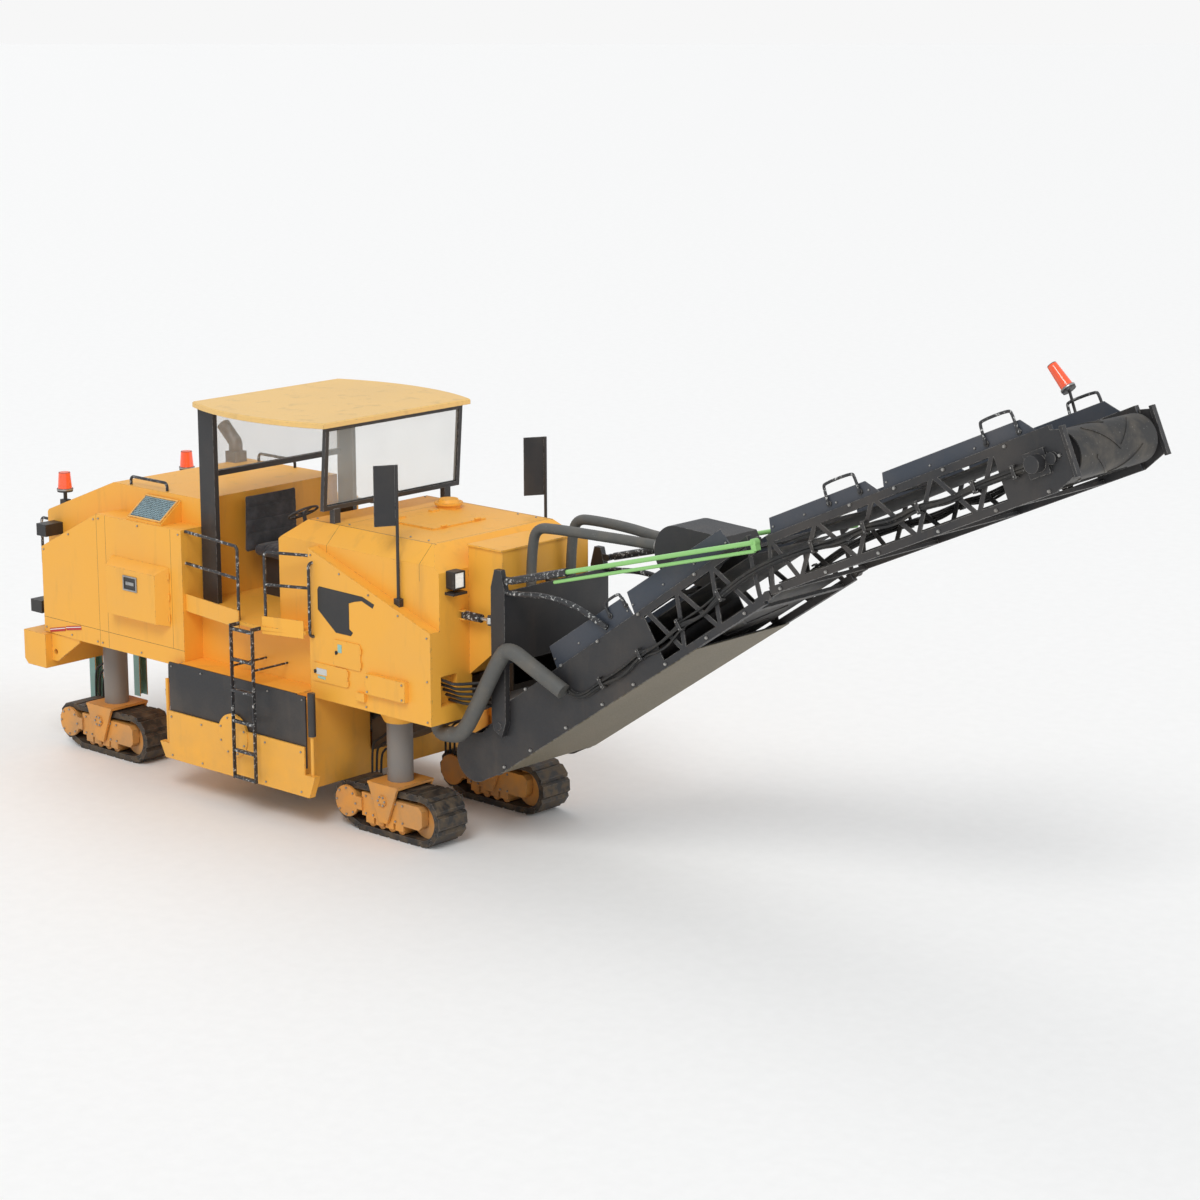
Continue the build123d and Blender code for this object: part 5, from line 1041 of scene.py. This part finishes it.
# Clamps that hold the cables to the conveyor's sides
CLAMP_BLOCKS = (
    ((-0.020, 0.001, -0.062), (0.020, 0.054, -0.046)),
    ((-0.020, 0.001, 0.046), (0.020, 0.054, 0.062)),
    ((-0.020, 0.0535, -0.062), (0.020, 0.060, 0.062)),
)
cable_turn = Vector((CABLE_TURN_X, 0, CABLE_TURN_Z))
cable_fold = Vector((CABLE_FOLD_X, 0, CABLE_FOLD_Z))
cable_end = on_upper(CABLE_END_ALONG, CABLE_END_OUT, 0)
cable_line = {
    "discharge_lower": (cable_turn, cable_fold, (0.14, 0.36, 0.58, 0.80)),
    "discharge_upper": (cable_fold, cable_end, (0.22, 0.42, 0.62, 0.82, 0.96)),
}
for body, (start, end, shares) in cable_line.items():
    bm = bmesh.new()
    along = (end - start).normalized()
    across = Vector((-along.z, 0, along.x))
    for hand_name, hand in SIDES:
        for share in shares:
            middle = start.lerp(end, share)
            for low, high in CLAMP_BLOCKS:
                for vertex in boxed(bm, low, high):
                    a, b, c = vertex.co
                    spot = middle + along * a + across * c
                    vertex.co = Vector((spot.x, hand * (CONVEYOR_SIDE + b), spot.z))
    piece(f"{body}_clamps", bm, charcoal, body, 0.002)
    places = []
    for hand_name, hand in SIDES:
        for share in shares:
            for c in (-0.040, 0.040):
                spot = start.lerp(end, share) + across * c
                places.append(((spot.x, hand * (CONVEYOR_SIDE + 0.063), spot.z), (0, hand, 0)))
    bolts(f"{body}_clamp_bolts", places, body, 0.009, 0.008)

# Bands on the large hoses
feet = [(DUST_X, foot, 2.150) for name, foot, port in DUST_HOSES]
bands("dust_hose_bands_low", feet, UP, 0.051, 0.061, 0.034, bolt_steel, "slewing_frame")
ports = [(1.846, port, DUST_HIGH) for name, foot, port in DUST_HOSES]
bands("dust_hose_bands_high", ports, (1, 0, 0), 0.051, 0.062, 0.034, bolt_steel, "discharge_lower")
sleeves = [(-0.560, hand * 0.900, 1.405) for name, hand in SIDES]
bands("sleeve_bands", sleeves, UP, 0.082, 0.094, 0.036, bolt_steel, "machine")

# Intake mesh on the rear pods
for hand_name, hand in SIDES:
    low, high = Vector((0, hand * 1.30, 2.990)), Vector((0, hand * 1.00, 3.220))
    middle = (low + high) / 2 + Vector((-4.77, 0, 0))
    rise = (high - low).normalized()
    outward = Vector((0, rise.z, -rise.y)) * hand
    if outward.z < 0:
        outward = -outward
    half_x, half_y, rim = 0.26, 0.15, 0.022
    source = bpy.data.objects.new("mesh_start", bpy.data.meshes.new("mesh_start"))
    values = {"wide": 2 * half_x, "high": 2 * half_y, "pitch": 0.024, "wire": 0.0055, "material": mesh_blue}
    wires = grow(f"intake_mesh_{hand_name}", source, wire_mesh, values)
    grid = Matrix((Vector((1, 0, 0)), rise, outward)).transposed().to_4x4()
    grid.translation = middle + outward * 0.010
    wires.data.transform(grid)
    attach(wires, "machine")
    bm = bmesh.new()
    for low_x, high_x, low_y, high_y in (
        (-half_x - rim, half_x + rim, -half_y - rim, -half_y),
        (-half_x - rim, half_x + rim, half_y, half_y + rim),
        (-half_x - rim, -half_x, -half_y, half_y),
        (half_x, half_x + rim, -half_y, half_y),
    ):
        for vertex in boxed(bm, (low_x, low_y, -0.0095), (high_x, high_y, 0.008)):
            vertex.co = grid @ vertex.co
    piece(f"intake_frame_{hand_name}", bm, yellow_lip, "machine", 0.002)
    bm = bmesh.new()
    for vertex in boxed(bm, (-half_x, -half_y, -0.0098), (half_x, half_y, -0.006)):
        vertex.co = grid @ vertex.co
    piece(f"intake_back_{hand_name}", bm, panel_black, "machine")

# Black side panel, blank plates, latches and handles
PANEL_SHAPE = (
    (-1.153, 2.592), (-1.334, 2.649), (-2.000, 2.661), (-2.024, 2.625), (-2.024, 2.407), (-1.750, 2.197),
    (-1.517, 2.197), (-1.486, 2.238), (-1.541, 2.268), (-1.541, 2.546), (-1.453, 2.577), (-1.343, 2.601),
    (-1.179, 2.546),
)
for hand_name, hand in SIDES:
    bm = bmesh.new()
    face = bm.faces.new([bm.verts.new((x, hand * (POD_SIDE + 0.0003), z)) for x, z in PANEL_SHAPE])
    raised = bmesh.ops.extrude_face_region(bm, geom=[face])
    for item in raised["geom"]:
        if isinstance(item, bmesh.types.BMVert):
            item.co.y += hand * 0.0030
    piece(f"side_panel_{hand_name}", bm, panel_black, "machine", 0.001, smooth=False)
    plate_y = hand * 1.2213
    for name, body, x, z, wide, high, material in (
        ("blank_plate_upper", f"pod_door_upper_{hand_name}", -1.685, 2.035, 0.062, 0.090, plate_teal),
        ("blank_plate_lower", f"pod_door_lower_{hand_name}", -1.975, 1.735, 0.160, 0.070, plate_white),
        ("blank_plate_low", f"pod_door_lower_{hand_name}", -1.975, 1.672, 0.120, 0.030, plate_teal),
    ):
        corners = (x - wide / 2, plate_y - 0.002, z - high / 2), (x + wide / 2, plate_y + 0.002, z + high / 2)
        boxes(f"{name}_{hand_name}", [corners], material, body, 0.001)
    for name, body, x, z in (
        ("door_latch_upper", f"pod_door_upper_{hand_name}", -1.735, 1.985),
        ("door_latch_lower", f"pod_door_lower_{hand_name}", -2.070, 1.730),
    ):
        bm = bmesh.new()
        disc(bm, (x, hand * 1.225, z), (0, hand, 0), 0.020, 0.010, 20)
        disc(bm, (x, hand * 1.233, z), (0, hand, 0), 0.013, 0.010, 20, 0.010)
        boxed(bm, (x - 0.004, hand * 1.235 - 0.006, z - 0.020), (x + 0.004, hand * 1.235 + 0.006, z + 0.020))
        piece(f"{name}_{hand_name}", bm, panel_black, body, 0.001)
    # recessed pull of the service door
    door = f"service_door_{hand_name}"
    face = hand * 1.4733
    x0, x1, z0, z1 = -4.945, -4.705, 2.215, 2.385
    rim = 0.018
    rims = []
    for a, b, c, d in (
        (x0, x1, z1 - rim, z1),
        (x0, x1, z0, z0 + rim),
        (x0, x0 + rim, z0 + rim, z1 - rim),
        (x1 - rim, x1, z0 + rim, z1 - rim),
    ):
        if hand > 0:
            rims.append(((a, face - 0.001, c), (b, face + 0.012, d)))
        else:
            rims += [((a, face - 0.001, c), (b, face + 0.001, d)), ((a, face - 0.012, c), (b, face, d))]
    boxes(f"service_pull_rim_{hand_name}", rims, handle_grey, door, 0.002)
    face = hand * (1.4733 + 0.001)
    back = (x0 + rim, face - 0.002, z0 + rim), (x1 - rim, face + 0.002, z1 - rim)
    boxes(f"service_pull_back_{hand_name}", [back], panel_black, door)
    face = hand * (1.4733 + 0.006)
    bar = (x0 + 0.05, face - 0.006, z0 + 0.065), (x1 - 0.05, face + 0.006, z0 + 0.105)
    boxes(f"service_pull_bar_{hand_name}", [bar], handle_grey, door, 0.003)

# Lamp lenses
lenses = [((-0.231, y - 0.064, 2.862), (-0.219, y + 0.064, 3.018)) for y in WORK_LAMPS]
boxes("work_lamp_lenses", lenses, work_lens, "machine", 0.004)
rims = []
for y in WORK_LAMPS:
    rims += [((-0.231, y + a, 2.846), (-0.210, y + b, 3.034)) for a, b in ((-0.080, -0.064), (0.064, 0.080))]
    rims += [((-0.231, y - 0.064, a), (-0.210, y + 0.064, b)) for a, b in ((2.846, 2.862), (3.018, 3.034))]
boxes("work_lamp_rims", rims, panel_black, "machine", 0.002)
lenses = []
for hand in (1, -1):
    lenses.append(((-6.800, hand * 1.125 - 0.10, 2.556), (-6.788, hand * 1.125 + 0.10, 2.664)))
    lenses.append(((-6.894, hand * 1.15 - 0.13, 1.650), (-6.888, hand * 1.15 + 0.13, 1.764)))
boxes("rear_lamp_lenses", lenses, reflector_red, "machine", 0.003)


# Domes of the beacons, turned about their own axes
def lathe(bm, centre, axis, profile, sides=40):
    """Adds a closed turned shape: the profile's (radius, height) pairs start and end on the axis."""
    turn = standing(centre, axis)
    rows = []
    for radius, height in profile:
        # a row on the axis is one corner
        rows.append(circle(bm, turn, radius, height, sides if radius else 1))
    for first, second in zip(rows, rows[1:]):
        for k in range(sides):
            after = (k + 1) % sides
            near = [first[k % len(first)], first[after % len(first)]]
            far = [second[after % len(second)], second[k % len(second)]]
            bm.faces.new(list(dict.fromkeys(near + far)))


def dome(radius, top, height, bands=9):
    """Profile of a lens with shallow rings round it and a rounded top."""
    points = [(0, 0), (radius, 0)]
    for step in range(1, 2 * bands):
        share = step / (2 * bands)
        width = radius + (top - radius) * share
        points.append((width - (0.0016 if step % 2 else 0), height * 0.90 * share))
    points += [(top, height * 0.93), (top * 0.86, height * 0.985), (top * 0.5, height), (0, height)]
    return points


bm = bmesh.new()
for hand in (1, -1):
    lathe(bm, (-6.670, hand * 0.910, 3.0625), UP, dome(0.0835, 0.0690, 0.192))
piece("rear_beacon_domes", bm, beacon_lens, "machine")
feet = [(-6.670, hand * 0.910, 3.050) for hand in (1, -1)]
bands("rear_beacon_rings", feet, UP, 0.089, 0.095, 0.020, handle_grey, "machine", 0.002)
beacon_foot = Vector((6.050, CONVEYOR_SIDE + 0.010, 5.394))
beacon_axis = Vector((-232, 0, 245)).normalized()
bm = bmesh.new()
lathe(bm, beacon_foot + beacon_axis * 0.033, beacon_axis, dome(0.0630, 0.0500, 0.264))
piece("conveyor_beacon_dome", bm, beacon_lens, "discharge_upper")
feet = [beacon_foot + beacon_axis * 0.020]
bands("conveyor_beacon_ring", feet, beacon_axis, 0.069, 0.075, 0.018, handle_grey, "discharge_upper", 0.002)

# Mirror glasses on the faces that look back
for hand_name, hand in SIDES:
    corner = Vector((-0.898 - 0.059, hand * 1.105 - 0.105, 3.767))
    across = Vector((0.118, 0.210, 0)).normalized()
    out = Vector((-0.210, 0.118, 0)).normalized()
    bm = bmesh.new()
    for vertex in boxed(bm, (-0.098, -0.288, 0.0), (0.098, 0.288, 0.004)):
        local = vertex.co.copy()
        vertex.co = corner + across * local.x + Vector((0, 0, local.y)) + out * (0.0395 + local.z)
    piece(f"mirror_glass_{hand_name}", bm, mirror_glass, "machine", 0.001)

# Rubber strips round the panes
places = ((-2.1492, 3.463), (-2.0832, 4.278))
seals = [((x - 0.010, -0.958, z - 0.009), (x + 0.010, 0.958, z + 0.009)) for x, z in places]
boxes("screen_seals", seals, rubber_black, "machine", 0.003)


# Seat: a cushion and a back, each blown up a little like a filled cover
def rounded_block(name, outline, low_y, high_y):
    bm = bmesh.new()
    near = [bm.verts.new((x, low_y, z)) for x, z in outline]
    far = [bm.verts.new((x, high_y, z)) for x, z in outline]
    bm.faces.new(near)
    bm.faces.new(list(reversed(far)))
    for k in range(len(outline)):
        after = (k + 1) % len(outline)
        bm.faces.new((near[k], far[k], far[after], near[after]))
    bmesh.ops.recalc_face_normals(bm, faces=bm.faces)
    bmesh.ops.bevel(bm, geom=bm.edges[:], offset=0.024, segments=3, affect="EDGES", clamp_overlap=True)
    return placed(name, mesh_of(name, bm))


def apply_modifiers(obj):
    mesh = evaluated_mesh(obj)
    obj.modifiers.clear()
    obj.data = mesh


CLOTH_FRAMES = 20


def stuffed(obj, voxel=0.012, most=0.016):
    """Swells a closed cover by air pressure, with no point moving further than the cap."""
    remesh = obj.modifiers.new("skin", "REMESH")
    remesh.mode = "VOXEL"
    remesh.voxel_size = voxel
    apply_modifiers(obj)
    rest = [vertex.co.copy() for vertex in obj.data.vertices]
    cloth = obj.modifiers.new("cloth", "CLOTH")
    cloth.settings.use_pressure = True
    cloth.settings.uniform_pressure_force = 4
    cloth.settings.effector_weights.gravity = 0
    cloth.settings.quality = 4
    cloth.point_cache.frame_start = 1
    cloth.point_cache.frame_end = CLOTH_FRAMES
    for frame_number in range(1, CLOTH_FRAMES + 1):
        bpy.context.scene.frame_set(frame_number)
    apply_modifiers(obj)
    bpy.context.scene.frame_set(1)
    for vertex, start in zip(obj.data.vertices, rest):
        move = vertex.co - start
        if move.length > most:
            vertex.co = start + move.normalized() * most
    for step in range(2):
        bm = bmesh.new()
        bm.from_mesh(obj.data)
        bmesh.ops.smooth_vert(bm, verts=bm.verts, factor=0.5, use_axis_x=True, use_axis_y=True, use_axis_z=True)
        bm.to_mesh(obj.data)
        bm.free()


for name, outline, low_y, high_y in (
    ("seat_cushion", ((-3.872, 2.614), (-3.366, 2.614), (-3.366, 2.726), (-3.872, 2.726)), -0.510, 0.190),
    ("seat_back", ((-3.974, 2.628), (-3.906, 2.628), (-3.906, 2.745), (-3.920, 3.284), (-3.950, 3.284)), -0.545, 0.225),
):
    cover = rounded_block(name, outline, low_y, high_y)
    stuffed(cover)
    bm = bmesh.new()
    bm.from_mesh(cover.data)
    # sewn channels across the cover
    for vertex in bm.verts:
        if name == "seat_cushion" and vertex.co.z > 2.70:
            share = abs(((vertex.co.x + 3.62) / 0.13) % 1.0 - 0.5)
            vertex.co.z -= 0.010 * max(0.0, 1 - share / 0.09)
        if name == "seat_back" and vertex.co.x > -3.935:
            share = abs(((vertex.co.z - 2.62) / 0.15) % 1.0 - 0.5)
            vertex.co.x -= 0.010 * max(0.0, 1 - share / 0.08)
    bm.to_mesh(cover.data)
    bm.free()
    subdivide = cover.modifiers.new("soft", "SUBSURF")
    subdivide.levels = 1
    subdivide.render_levels = 1
    apply_modifiers(cover)
    cover.data.materials.clear()
    cover.data.materials.append(seat_cloth)
    cover.data.shade_smooth()
    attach(cover, "machine")
    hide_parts("seat")
